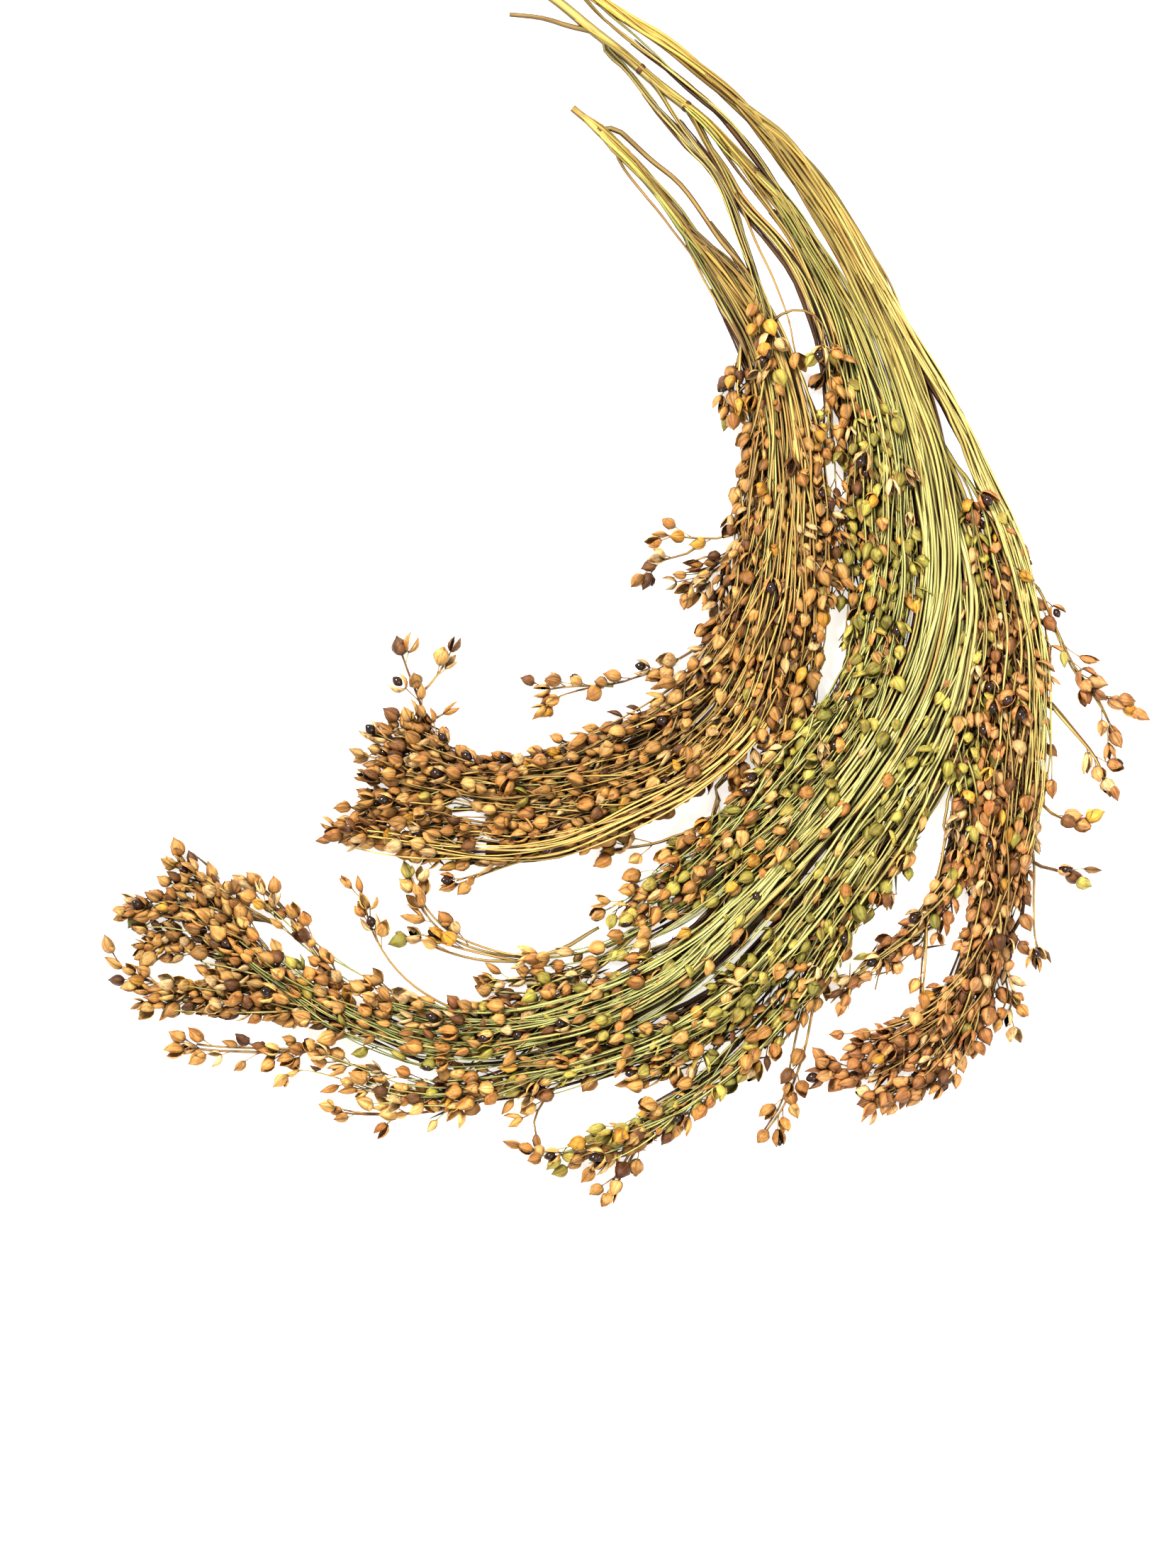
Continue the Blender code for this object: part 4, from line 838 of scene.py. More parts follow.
# %% Where the floor shows between the tresses
# The middle and the radius of each opening, in mm
GAPS = (
    (80.6, 33, 0.8), (82.6, 28.5, 1.4), (84.2, 24, 1.8), (85.6, 20.5, 1.5),
    (52, 31, 1.4), (52.5, 27, 0.9), (52, 19, 1.6), (56, 17, 1.2),
    (53, -22, 2.2), (53.5, -29, 2.6), (52, -35, 2.4), (50, -39, 1.4),
    (91, -50, 1.2), (94, -57, 1.3), (87.6, -47, 0.8), (73, -59, 1.2), (71.5, -63, 1.0),
    (82, -63, 1.2), (80.5, -69, 2.4), (78.5, -75, 3.2), (77, -81, 3.4), (72, -87, 2.2),
    (65, -94, 2.0), (61, -100, 1.8), (58, -106, 1.6), (69, -71, 1.2), (66, -77, 1.6), (63.5, -83, 1.8),
    (61, -115, 4.0), (66, -111, 2.6), (56, -121, 2.4), (43.5, -91.5, 1.5),
    (99.5, -93, 1.8), (100, -98, 1.6), (82.5, -107, 2.4), (78, -98, 1.2),
    (4.5, -49.5, 1.8), (1.5, -50.5, 1.4), (8, -48.5, 1.2), (19, -43.5, 2.0), (21.5, -41, 1.4),
    (25, -62, 2.0), (21, -66, 2.8), (15, -69, 2.8), (9, -71.5, 2.2), (5, -73.5, 1.4),
    (-41, -66.5, 2.6), (-37.5, -69, 2.0), (-44, -65.5, 1.4), (-36, -74.3, 1.5), (-33, -75, 1.2),
    (-110, -106, 2.0), (-105, -105, 1.3), (-115, -108, 1.2),
)
LEAST_APART = 0.05


def in_a_gap(p, margin=0.0):
    """Whether a point lies in an opening or within a margin round it."""
    return any((p[0] - x) ** 2 + (p[1] - y) ** 2 < (r + margin) ** 2 for x, y, r in GAPS)


def step_aside(points):
    """Moves the points of a stem out of the openings, the near ones most."""
    for x, y, r in GAPS:
        away = points[:, :2] - (x, y)
        apart = np.maximum(np.linalg.norm(away, axis=1), LEAST_APART)
        points[:, :2] += away * (((apart ** 3 + r ** 3) ** (1 / 3) - apart) / apart)[:, None]


print(len(GAPS), "openings")

# %% [markdown]
# ## Fine stems
#
# A strand has up to fourteen fine stems, each with its own place across it. They leave the
# culm at different heights, so some run beside it for a while first. They taper and stop
# one by one, and those of the long pale strands are the stoutest.

# %% Where the husks begin
# From 0 to 1, in strands whose husks begin sooner or later than in the solids
HUSKS_BEGIN = {
    "band_upper": 0.34, "band_middle": 0.3, "band_lower": 0.3, "band_straw": 0.84, "lobe": 0.36,
    "pale_left": 0.34, "pale_middle": 0.36, "pale_right": 0.36, "bottom_tail": 0.42, "outer": 0.46,
    "between_left": 0.55, "between_right": 0.54,
    "green_inner": 0.22, "green_middle": 0.25, "green_edge": 0.3,
}
SPRAY_STEMS = 2


def husks_begin(title, strand):
    """Where along a strand its husks begin."""
    return HUSKS_BEGIN.get(title, strand.seeds)


def is_spray(strand):
    """Whether a strand is only a stem or two, with its husks far apart."""
    return strand.stems <= SPRAY_STEMS


print("husks begin elsewhere than in the solids in", len(HUSKS_BEGIN), "strands")

# %% How stout the stems are
FOOT_RADIUS, TIP_RADIUS = 0.55, 0.19
SLENDER, FINE = 0.78, 0.66
STOUT_STRANDS = ("pale_left", "pale_middle", "pale_right", "outer", "bottom_tail", "band_straw")
FINE_STRANDS = ("green_edge", "green_middle", "green_inner")
STOUTNESS = (0.65, 0.8, 1, 1, 1.3)
TAPER = 0.55

# The radii at the foot and the tip of a spray, and of the two bare stems that are thicker
SPRAY_RADII = (0.42, 0.247)
THICK_RADII = {"arch": (0.8, 0.6), "dry_branch": (0.8, 0.65)}
SPRAY_STOUTNESS = (0.85, 1.1)


def stem_radii(title, strand, shares, rng):
    """The radius of a stem at each share of its strand."""
    stout = 1 if title in STOUT_STRANDS else FINE if title in FINE_STRANDS else SLENDER
    radii = FOOT_RADIUS * stout * rng.choice(STOUTNESS) * (1 - shares.clip(0)) ** TAPER
    if is_spray(strand):
        foot, tip = THICK_RADII.get(title, SPRAY_RADII)
        radii = np.linspace(foot, tip, len(shares)) * rng.uniform(*SPRAY_STOUTNESS)
    return np.maximum(radii, TIP_RADIUS)


print("the stoutest stem is", FOOT_RADIUS * max(STOUTNESS), "mm in radius")

# %% Where a stem starts and ends
# How far a stem of a main strand runs beside the culm in mm, and how many run the long way
LONG_RUN, SHORT_RUN = (15, 80), (3, 10)
LONG_SHARE = {"left": 0.6, "middle": 0.2, "right": 0.35}
# The stems of these strands all end close to the strand's end; others may stop far sooner
BLUNT_STRANDS = ("band_upper", "band_middle", "band_lower", "band_straw", "column_left", "column_middle",
                 "bottom_tail", "tail_low", "inner_fill")
BLUNT_END = 0.88
FIRST_END, LATER_END = 0.6, 0.35
# How much shorter one stem of a spray may be, and the room for the husk at a tip in mm
SPRAY_END = 0.06
TIP_ROOM = 3.2


def run_up(side, line, rng):
    """The way that a stem of a main strand runs beside the culm before it leaves it."""
    parent_line = lines[side]["culm"]
    joint = min(range(len(parent_line)), key=lambda k: (parent_line[k] - line[0]).length)
    length = rng.uniform(*(LONG_RUN if rng.random() < LONG_SHARE[side] else SHORT_RUN))
    back = min(joint, int(length / LINE_STEP))
    return [np.array(p) for p in parent_line[joint - back:joint]]


def stem_end(title, strand, line, rng):
    """The share of the strand at which one stem ends, with room for the husk at its tip."""
    end = 1.0
    if is_spray(strand):
        end -= SPRAY_END * rng.random() * (strand.stems > 1)
    elif strand.seeds is not None:
        end = rng.uniform(BLUNT_END if title in BLUNT_STRANDS else FIRST_END + LATER_END * strand.seeds, 1)
    if strand.seeds is not None:
        end = min(end, 1 - TIP_ROOM / (LINE_STEP * len(line)))
    return end


print(len(BLUNT_STRANDS), "strands end bluntly")

# %% One fine stem
# A stem reaches its own place in the strand over this length in mm
SPREAD_LENGTH = 8.0
# How much each point beside the culm counts, in shares of the strand
RUN_UP_STEP = 0.02
# The size and the length of the waves in mm: across the strand, from side to side, up and down
DRIFT, DRIFT_LENGTH = 0.4, 34
STRAY, STRAY_LENGTH = 0.55, 13
WAVER, WAVER_LENGTH = 0.22, 5
BOB, BOB_LENGTH = 0.25, 9
# The level that lies at the height of the strand's line, and how far apart the levels are
MIDDLE_LEVEL, LEVEL_HEIGHT = 0.4, 2.2
# The least half-width for the levels, and the least gap between a stem and the table, in mm
TRUNK_HALF = 2.4
FLOOR_GAP = 0.15


class Stem:
    """One fine stem: its points, its radii, and its share of the strand at each point."""

    def __init__(self, points, radii, shares, rides=False):
        self.points, self.radii, self.shares, self.rides = points, radii, shares, rides

    def place(self, share):
        """The number of the point at a share of the strand, in between two points as a fraction."""
        return np.interp(share, self.shares, np.arange(len(self.shares)))

    def at(self, share):
        """The point and the direction at a share of the strand."""
        place = self.place(share)
        first = min(int(place), len(self.points) - 2)
        step = self.points[first + 1] - self.points[first]
        return self.points[first] + step * (place - first), step / np.linalg.norm(step)

    def turn_ahead(self, share, length):
        """How far the stem turns over the next length."""
        _, now = self.at(share)
        later = min(int(self.place(share)) + int(length / LINE_STEP), len(self.points) - 2)
        step = self.points[later + 1] - self.points[later]
        turn = math.atan2(step[1], step[0]) - math.atan2(now[1], now[0])
        return (turn + math.pi) % math.tau - math.pi


def fine_stem(title, strand, line, before, across, level, rng):
    """A stem with its own place across the strand (-1 to 1) and its own level in it (0 to 1)."""
    path = np.array([*before, *[np.array(p) for p in line]])
    run_up_shares = np.linspace(-RUN_UP_STEP * len(before), 0, len(before), endpoint=False)
    shares = np.concatenate([run_up_shares, np.linspace(0, 1, len(line))])
    keep = shares <= stem_end(title, strand, line, rng)
    path, shares = path[keep], shares[keep]
    half = np.array([between(strand.widths, s) for s in shares])
    along = np.arange(len(path)) * LINE_STEP
    fan = np.clip(along / SPREAD_LENGTH, 0, 1)
    waves = [math.tau * rng.random() for _ in range(4)]
    drift = np.clip(across + DRIFT * np.sin(waves[0] + along / DRIFT_LENGTH), -1, 1)
    stray = STRAY * np.sin(waves[1] + along / STRAY_LENGTH)
    stray += WAVER * np.sin(waves[2] + along / WAVER_LENGTH)
    ahead = np.gradient(path, axis=0)
    side = np.stack([ahead[:, 1], -ahead[:, 0], 0 * ahead[:, 0]], 1)
    side /= np.linalg.norm(side, axis=1, keepdims=True)
    radii = stem_radii(title, strand, shares, rng)
    path = path + side * (drift * half * fan + stray * fan)[:, None]
    step_aside(path)
    lift = (level - MIDDLE_LEVEL) * np.maximum(half, TRUNK_HALF) * STRAND_FLATNESS * LEVEL_HEIGHT * fan
    bob = BOB * np.sin(waves[3] + along / BOB_LENGTH) * fan
    path[:, 2] = np.maximum(path[:, 2] + lift + bob, radii + FLOOR_GAP)
    return Stem(path, radii, shares)


print("a stem wavers by up to", round(STRAY + WAVER, 2), "mm to each side")

# %% All fine stems
NARROWER = 0.95
# The share of a strand's stems that lie over its husks; the others lie among them
USUAL_RIDERS = 0.4
RIDERS = {
    "edge": 0.08, "band_upper": 0.2, "band_middle": 0.3, "band_lower": 0.5, "band_straw": 1.0,
    "lobe": 0.3, "inner_edge": 0.15, "side_cluster": 0,
    "over_left_outer": 0, "over_left_inner": 0, "between_left": 0.2, "between_right": 0.2,
    "green_inner": 0.8, "green_middle": 0.65, "green_edge": 0.4, "low_cluster": 0.2,
    "outer": 1.0, "pale_left": 0.95, "pale_middle": 0.9, "pale_right": 0.8, "bottom_tail": 0.6,
    "column_left": 0.2, "column_middle": 0.15, "column_right": 0, "tail_low": 0, "inner_fill": 0.2,
    "head_low": 0.3, "head_middle": 0.2, "head_upper": 0.2, "head_top": 0.2,
}


def grow_stems(side, title, rng):
    """The fine stems of one strand."""
    strand = PANICLES[side][title]
    line = lines[side][title]
    main = strand.grows_from == "culm" and not is_spray(strand)
    found = []
    for k in range(strand.stems):
        across = 0 if strand.stems == 1 else (2 * (k + rng.random()) / strand.stems - 1) * NARROWER
        before = run_up(side, line, rng) if main else []
        stem = fine_stem(title, strand, line, before, across, rng.random(), rng)
        if strand.seeds is not None and not is_spray(strand):
            stem.rides = rng.random() < RIDERS.get(title, USUAL_RIDERS)
        found.append(stem)
    return found


stems = {}
for side, strands in PANICLES.items():
    rng = random.Random(side)
    stems[side] = {
        title: grow_stems(side, title, rng) for title, strand in strands.items() if strand.grows_from
    }
    print(side, "panicle:", sum(len(group) for group in stems[side].values()), "fine stems")

# %% [markdown]
# ## The bed
#
# Between the stems and the husks that one sees lie many more, in the shade. Short stems
# below each strand stand for them, dry brown darkened further as painted shade, so no light
# floor shines through a thick tress.

# %% Dark stems below
# How many there are to each fine stem, how much lower they lie, and where along the stem
BED_SHARE = 2.4
BED_DROP = 1.2
BED_SPAN = (0.22, 0.9)
# How stout a stem of the bed begins, how much stouter each point is, and how stout it gets
BED_BEGINS, BED_SWELLS, BED_STOUT = 0.35, 0.3, 2.0
# Where they lie across the strand, from -1 to 1
BED_SIDES = (-0.75, 0.75)
# Half a bed is enough where the floor shows beside a strand
HALF_BEDS = {"green_edge": (-0.75, 0.15)}


def bed_stems(side, title, rng):
    """Thin stems below the others of a strand."""
    strand = PANICLES[side][title]
    if is_spray(strand):
        return []
    found = []
    for _ in range(int(strand.stems * BED_SHARE)):
        across = rng.uniform(*HALF_BEDS.get(title, BED_SIDES))
        stem = fine_stem(title, strand, lines[side][title], [], across, 0, rng)
        first, last = (int(len(stem.points) * share) for share in BED_SPAN)
        stem.points, stem.shares = stem.points[first:last:2], stem.shares[first:last:2]
        swell = np.minimum(BED_BEGINS + BED_SWELLS * np.arange(len(stem.points)), BED_STOUT)
        stem.radii = stem.radii[first:last:2] * swell
        stem.points[:, 2] = np.maximum(stem.points[:, 2] - BED_DROP, stem.radii + FLOOR_GAP)
        found.append(stem)
    return found


beds = {}
for side, strands in PANICLES.items():
    rng = random.Random(side + " bed")
    beds[side] = [stem for title in stems[side] for stem in bed_stems(side, title, rng)]
    print(side, "panicle:", len(beds[side]), "stems in the bed")

# %% [markdown]
# ## The husks
#
# A spikelet of millet is a plump body wrapped in papery scales that end in a beak. Two
# scales meet in a seam on each side, and a short third one clasps the foot. Each kind is
# modelled a few times with small differences, as rings along the axis from foot to tip, and
# then copied to each seat by moving all its points at once.

# %% The size and the profiles of a husk
HUSK_LENGTH, HUSK_WIDTH = 4.8, 3.9
HUSK_DEPTH = 0.82

# shades: how light each point is, at random, with painted shade in seams and inside open scales
Shape = namedtuple("Shape", "points faces ways reaches shades")
# How wide a husk is from its foot (0) to its tip (1)
PLUMP = ((0, 0.2), (0.07, 0.6), (0.2, 0.91), (0.38, 1), (0.56, 0.93), (0.72, 0.67), (0.87, 0.26), (1, 0.03))
SLIM = ((0, 0.16), (0.1, 0.42), (0.28, 0.68), (0.48, 0.68), (0.68, 0.5), (0.85, 0.26), (1, 0.04))
PLAIN = ((0, 0.2), (0.2, 0.85), (0.5, 0.97), (0.78, 0.55), (1, 0.05))
# How light the points are, at random, and in a seam, whose crease gets painted shade
MOTTLE = (0.8, 1.12)
PAINTED_SEAM_SHADE = 0.4


def put_together(*parts):
    """One shape of several parts."""
    points, faces, ways, reaches, shades = [], [], [], [], []
    for part in parts:
        faces += [tuple(corner + len(points) for corner in face) for face in part[1]]
        points += part[0]
        ways += part[2]
        reaches += part[3]
        shades += part[4]
    return Shape(np.array(points), faces, np.array(ways), np.array(reaches), np.array(shades))


print("a husk:", HUSK_LENGTH, "x", HUSK_WIDTH, "x", round(HUSK_WIDTH * HUSK_DEPTH, 1), "mm")

# %% Rings of a husk
# The outer scale reaches over this share of the way round, and has a keel along its back
OUTER_SHARE = 0.55
KEEL, KEEL_SHARPNESS = 0.12, 6
INNER_SCALE = 0.8
UNEVEN = 0.06
BEND, BEND_FORWARD = 0.5, 0.6
DENTS = (0.02, 0.07)


def ringed(profile, sides, rng):
    """A closed body from its foot to its tip: an outer scale that laps over an inner one."""
    points, ways, reaches, shades = [], [], [], []
    seams = (0, round(sides * OUTER_SHARE))
    bend = rng.uniform(-BEND, BEND)
    dents = [(rng.uniform(0, math.tau), rng.uniform(*DENTS), n) for n in (2, 3)]
    for v, r in profile:
        for j in range(sides):
            a = math.tau * j / sides
            lap = INNER_SCALE
            if j < sides * OUTER_SHARE:
                lap = 1.0 + KEEL * max(math.sin(a), 0) ** KEEL_SHARPNESS
            dent = 1 + sum(size * math.sin(n * a + phase + 2 * v) for phase, size, n in dents)
            radius = HUSK_WIDTH / 2 * r * lap * dent * (1 + rng.uniform(-UNEVEN, UNEVEN))
            x, y = math.cos(a) * radius, math.sin(a) * radius * HUSK_DEPTH
            points.append((x + bend * v * v * BEND_FORWARD, y, v * HUSK_LENGTH))
            ways.append((math.cos(a), math.sin(a), v))
            reaches.append(v)
            shades.append(rng.uniform(*MOTTLE) * (PAINTED_SEAM_SHADE if j in seams else 1))
    return points, ring_faces(len(profile), sides), ways, reaches, shades


print("a plump husk:", len(ringed(PLUMP, 9, random.Random(0))[0]), "points")

# %% The clasping scale
CLASP_COLUMNS, CLASP_ROWS = 5, 4
CLASP_TALL = (0.36, 0.6)
CLASP_FOOT = 0.02
# Its half-width in radians at the foot and at the top
CLASP_WIDE, CLASP_NARROW = 1.25, 0.08
# How far its edges and its middle stand off the body
CLASP_EDGE, CLASP_MIDDLE, CLASP_SKIN = 0.88, 1.13, 0.02
CLASP_SHADE = 1.1
# Its finish: how much sooner it gets a dark tip, and nerves from elsewhere in the noise
CLASP_REACH = 1.9
OTHER_NERVES = 3


def clasp(rng):
    """The short scale round the foot, whose edges go into the body."""
    middle = rng.uniform(0, math.tau)
    points, ways, reaches, shades = [], [], [], []
    tall = rng.uniform(*CLASP_TALL)
    for k in range(CLASP_ROWS):
        rise = k / (CLASP_ROWS - 1)
        v = CLASP_FOOT + tall * k / (CLASP_ROWS - 1)
        body = np.interp(v, *zip(*PLUMP))
        wide = CLASP_WIDE * (1 - rise ** 2) + CLASP_NARROW
        for j in range(CLASP_COLUMNS):
            t = 2 * j / (CLASP_COLUMNS - 1) - 1
            a = middle + t * wide
            edge = j in (0, CLASP_COLUMNS - 1) or k == 0
            radius = HUSK_WIDTH / 2 * (body * (CLASP_EDGE if edge else CLASP_MIDDLE) + CLASP_SKIN)
            points.append((math.cos(a) * radius, math.sin(a) * radius * HUSK_DEPTH, v * HUSK_LENGTH))
            ways.append((math.cos(a) + OTHER_NERVES, math.sin(a), v))
            reaches.append(v * CLASP_REACH)
            # The clasp's edges, where they go into the body, get the painted shade of a seam
            shades.append(rng.uniform(*MOTTLE) * (PAINTED_SEAM_SHADE if edge else CLASP_SHADE))
    faces = [
        (k * CLASP_COLUMNS + j, k * CLASP_COLUMNS + j + 1,
         (k + 1) * CLASP_COLUMNS + j + 1, (k + 1) * CLASP_COLUMNS + j)
        for k in range(CLASP_ROWS - 1) for j in range(CLASP_COLUMNS - 1)
    ]
    return points, faces, ways, reaches, shades


print("the clasping scale:", len(clasp(random.Random(0))[1]), "faces")

# %% One scale of an open husk
UP = Vector((0, 0, 1))
SCALE_SKIN = 0.13
CRUMPLE = 0.16
# How far a scale curls round, in degrees to each side of its middle, and how deep the boat is
CURL = 80
BOAT_DEPTH = 0.8
FOOT_WIDTH, BOAT_LENGTH, BOAT_FOOT, BOAT_BELLY = 0.06, 0.92, 0.85, 0.75
CRUMPLED_FROM = 0.5
LEAST_RADIUS = 0.02
# How light a scale's rim and back are, and the painted shade inside its hollow
RIM_SHADE, BACK_SHADE, PAINTED_INSIDE_SHADE = 1.1, 0.95, 0.42


def scale_leaf(opening, turn, width, length, rng, columns, rows):
    """One boat-shaped scale, thin and a little crumpled, that opens outward from the foot."""
    tilt = UP.rotation_difference(Vector((math.sin(opening), 0, math.cos(opening))))
    crumple = [[rng.uniform(-CRUMPLE, CRUMPLE) for _ in range(columns)] for _ in range(rows)]
    points, ways, reaches, shades = [], [], [], []
    c, s = math.cos(turn), math.sin(turn)
    for skin in (0.0, SCALE_SKIN):
        for k in range(rows):
            v = k / (rows - 1)
            r = width / 2 * math.sin(math.pi * (FOOT_WIDTH + BOAT_LENGTH * v) ** BOAT_FOOT) ** BOAT_BELLY
            for j in range(columns):
                a = math.radians(-CURL + 2 * CURL * j / (columns - 1))
                radius = max(r - skin + crumple[k][j] * (r > CRUMPLED_FROM), LEAST_RADIUS)
                p = Vector((math.cos(a) * radius * BOAT_DEPTH, math.sin(a) * radius, v * length))
                ways.append((p.x / width * 2, p.y / width * 2, v))
                p.rotate(tilt)
                points.append((p.x * c - p.y * s, p.x * s + p.y * c, p.z))
                reaches.append(v)
                rim = j in (0, columns - 1) or k == rows - 1
                shade = RIM_SHADE if rim else PAINTED_INSIDE_SHADE if skin else BACK_SHADE
                shades.append(rng.uniform(*MOTTLE) * shade)
    half = columns * rows
    faces = []
    for k in range(rows - 1):
        for j in range(columns - 1):
            a, b = k * columns + j, (k + 1) * columns + j
            faces += [(a, a + 1, b + 1, b), (half + b, half + b + 1, half + a + 1, half + a)]
    rim = [k * columns for k in range(rows)] + [(rows - 1) * columns + j for j in range(1, columns)]
    rim += [k * columns + columns - 1 for k in range(rows - 2, -1, -1)]
    rim += list(range(columns - 2, 0, -1))
    faces += [(a, b, b + half, a + half) for a, b in zip(rim, rim[1:] + rim[:1])]
    return points, faces, ways, reaches, shades


print("a scale:", len(scale_leaf(0, 0, HUSK_WIDTH, HUSK_LENGTH, random.Random(0), 5, 5)[1]), "faces")

# %% Open, torn and loose husks
OPEN_MESH = (5, 5)
# How far the second scale opens and how big it is, beside the first
SECOND_OPENING, SECOND_SIZE = 0.8, 0.9
TORN_MESH = (4, 5)
TORN_SCALES = 3
TORN_TURN = 0.5
TORN_SIZES = (0.7, 1.05)
TORN_OPENING = (12, 30)
TORN_WIDTH, TORN_LENGTH = 0.68, 1.15
FLAKE_MESH = (4, 4)
FLAKE_OPENING = 0.1
FLAKE_WIDTH, FLAKE_LENGTH = 0.8, 0.75


def open_husk(opening, rng):
    """Two scales that gape by an angle in degrees, each to its own side."""
    first = scale_leaf(math.radians(opening), 0, HUSK_WIDTH, HUSK_LENGTH, rng, *OPEN_MESH)
    second = scale_leaf(math.radians(opening * SECOND_OPENING), math.pi,
                        HUSK_WIDTH * SECOND_SIZE, HUSK_LENGTH * SECOND_SIZE, rng, *OPEN_MESH)
    return put_together(first, second)


def torn_husk(rng):
    """Three narrow scales that point apart, as when the grain has dropped out."""
    leaves = []
    for k in range(TORN_SCALES):
        turn = k * math.tau / TORN_SCALES + rng.uniform(-TORN_TURN, TORN_TURN)
        size = rng.uniform(*TORN_SIZES)
        opening = math.radians(rng.uniform(*TORN_OPENING))
        leaves.append(scale_leaf(opening, turn, HUSK_WIDTH * TORN_WIDTH * size,
                                 HUSK_LENGTH * TORN_LENGTH * size, rng, *TORN_MESH))
    return put_together(*leaves)


def flake(rng):
    """One small scale on its own."""
    return put_together(scale_leaf(FLAKE_OPENING, 0, HUSK_WIDTH * FLAKE_WIDTH,
                                   HUSK_LENGTH * FLAKE_LENGTH, rng, *FLAKE_MESH))


print("a torn husk:", len(torn_husk(random.Random(0)).faces), "faces")

# %% A grain
GRAIN_LENGTH, GRAIN_WIDTH = 3.1, 2.4
GRAIN_FLATNESS = 0.88
GRAIN_RINGS, GRAIN_SIDES = 8, 10
GRAIN_ENDS, GRAIN_BELLY = 0.03, 0.62


def grain_shape():
    """A smooth oval grain, a little flat, with a small blunt end at each side."""
    points, ways, reaches = [], [], []
    for k in range(GRAIN_RINGS):
        v = k / (GRAIN_RINGS - 1)
        r = math.sin(math.pi * min(max(v, GRAIN_ENDS), 1 - GRAIN_ENDS)) ** GRAIN_BELLY * GRAIN_WIDTH / 2
        for j in range(GRAIN_SIDES):
            a = math.tau * j / GRAIN_SIDES
            points.append((math.cos(a) * r, math.sin(a) * r * GRAIN_FLATNESS, v * GRAIN_LENGTH))
            ways.append((math.cos(a), math.sin(a), v))
            reaches.append(v)
    return put_together((points, ring_faces(GRAIN_RINGS, GRAIN_SIDES), ways, reaches, [1] * len(points)))


GRAIN = grain_shape()
print("a grain:", len(GRAIN.points), "points")

# %% The kinds of husk
GAPING_OPENING, SPREAD_OPENING = (9, 15), (20, 34)
PLUMP_SIDES, SLIM_SIDES, PLAIN_SIDES = 9, 7, 6
chance = random.Random("husks")
# Most husks that one sees are plump, so there are more shapes of that kind
KINDS = {
    "plump": [put_together(ringed(PLUMP, PLUMP_SIDES, chance), clasp(chance)) for _ in range(12)],
    "slim": [put_together(ringed(SLIM, SLIM_SIDES, chance)) for _ in range(5)],
    "gaping": [open_husk(chance.uniform(*GAPING_OPENING), chance) for _ in range(4)],
    "spread": [open_husk(chance.uniform(*SPREAD_OPENING), chance) for _ in range(4)],
    "torn": [torn_husk(chance) for _ in range(5)],
    "plain": [put_together(ringed(PLAIN, PLAIN_SIDES, chance)) for _ in range(4)],
    "flake": [flake(chance) for _ in range(5)],
}
for kind, shapes in KINDS.items():
    print(kind, "husk:", sum(len(face) - 2 for face in shapes[0].faces), "triangles")

# %% [markdown]
# ## Seats for the husks
#
# A husk sits at the end of a hair-thin stalk that leaves its stem at a slant. The seats are
# found by trial: pick a place along a strand, pick one of its stems there, lean away from
# it by some angle, and keep the husk if no other one is too close. That fills a tress as
# closely as the real one is filled, and never puts two husks in one place.

# %% How closely the husks lie in each strand
# Husks to a square millimetre of the strand: under its stems, among them, and over them all
Crowd = namedtuple("Crowd", "under among over")
USUAL_CROWD = Crowd(0.075, 0.08, 0.012)
CROWDS = {
    "band_upper": Crowd(0.09, 0.12, 0.01),
    "band_middle": Crowd(0.09, 0.11, 0.01),
    "band_lower": Crowd(0.09, 0.13, 0.01),
    **dict.fromkeys(("band_straw", "edge"), Crowd(0.08, 0.12, 0.012)),
    "side_cluster": Crowd(0.08, 0.12, 0.0),
    "shoulder_cluster": Crowd(0.08, 0.14, 0.0),
    "column_left": Crowd(0.08, 0.11, 0.01),
    "column_middle": Crowd(0.08, 0.12, 0.01),
    **dict.fromkeys(("column_right", "tail_low"), Crowd(0.08, 0.13, 0.0)),
    **dict.fromkeys(("green_inner", "green_middle"), Crowd(0.08, 0.11, 0.018)),
    "green_edge": Crowd(0.08, 0.1, 0.015),
    **dict.fromkeys(("head_low", "head_middle", "head_upper", "head_top"), Crowd(0.1, 0.14, 0.012)),
    "pale_left": Crowd(0.08, 0.03, 0.02),
    "pale_middle": Crowd(0.08, 0.03, 0.016),
    "pale_right": Crowd(0.08, 0.05, 0.014),
    "bottom_tail": Crowd(0.08, 0.07, 0.02),
    "outer": Crowd(0.07, 0.02, 0.002),
}

print("crowds for", len(CROWDS), "strands")

# %% A husk in its seat
# The kinds of husk, in parts of a hundred
MIX = {
    "among": (("plump", 44), ("slim", 12), ("gaping", 18), ("spread", 12), ("torn", 14)),
    "under": (("plain", 50), ("flake", 50)),
}
TO_MIDDLE = 0.48


class Husk:
    """One husk: its foot, its axis, and everything that its mesh and colour need."""

    def __init__(self, foot, axis, root, kind, size, strand, share, rng):
        self.foot, self.axis, self.root = foot, axis, root
        self.kind, self.size, self.strand, self.share = kind, size, strand, share
        self.roll = rng.uniform(0, math.tau)
        self.under = self.grain = False
        self.family = None

    def middle(self):
        """The middle of the husk's body."""
        return self.foot + self.axis * (HUSK_LENGTH * self.size * TO_MIDDLE)


def chosen_kind(mix, rng):
    """One of the kinds of husk in a mix."""
    kinds, weights = zip(*MIX[mix])
    return rng.choices(kinds, weights)[0]


print("visible husks:", ", ".join(kind for kind, _ in MIX["among"]))

# %% The room round each husk
# How close the middles of two husks may come, how far husks stay off an opening, and how high they go
NEAREST = 2.6
GAP_MARGIN = 1.1
HEAP_TOP = 10.5


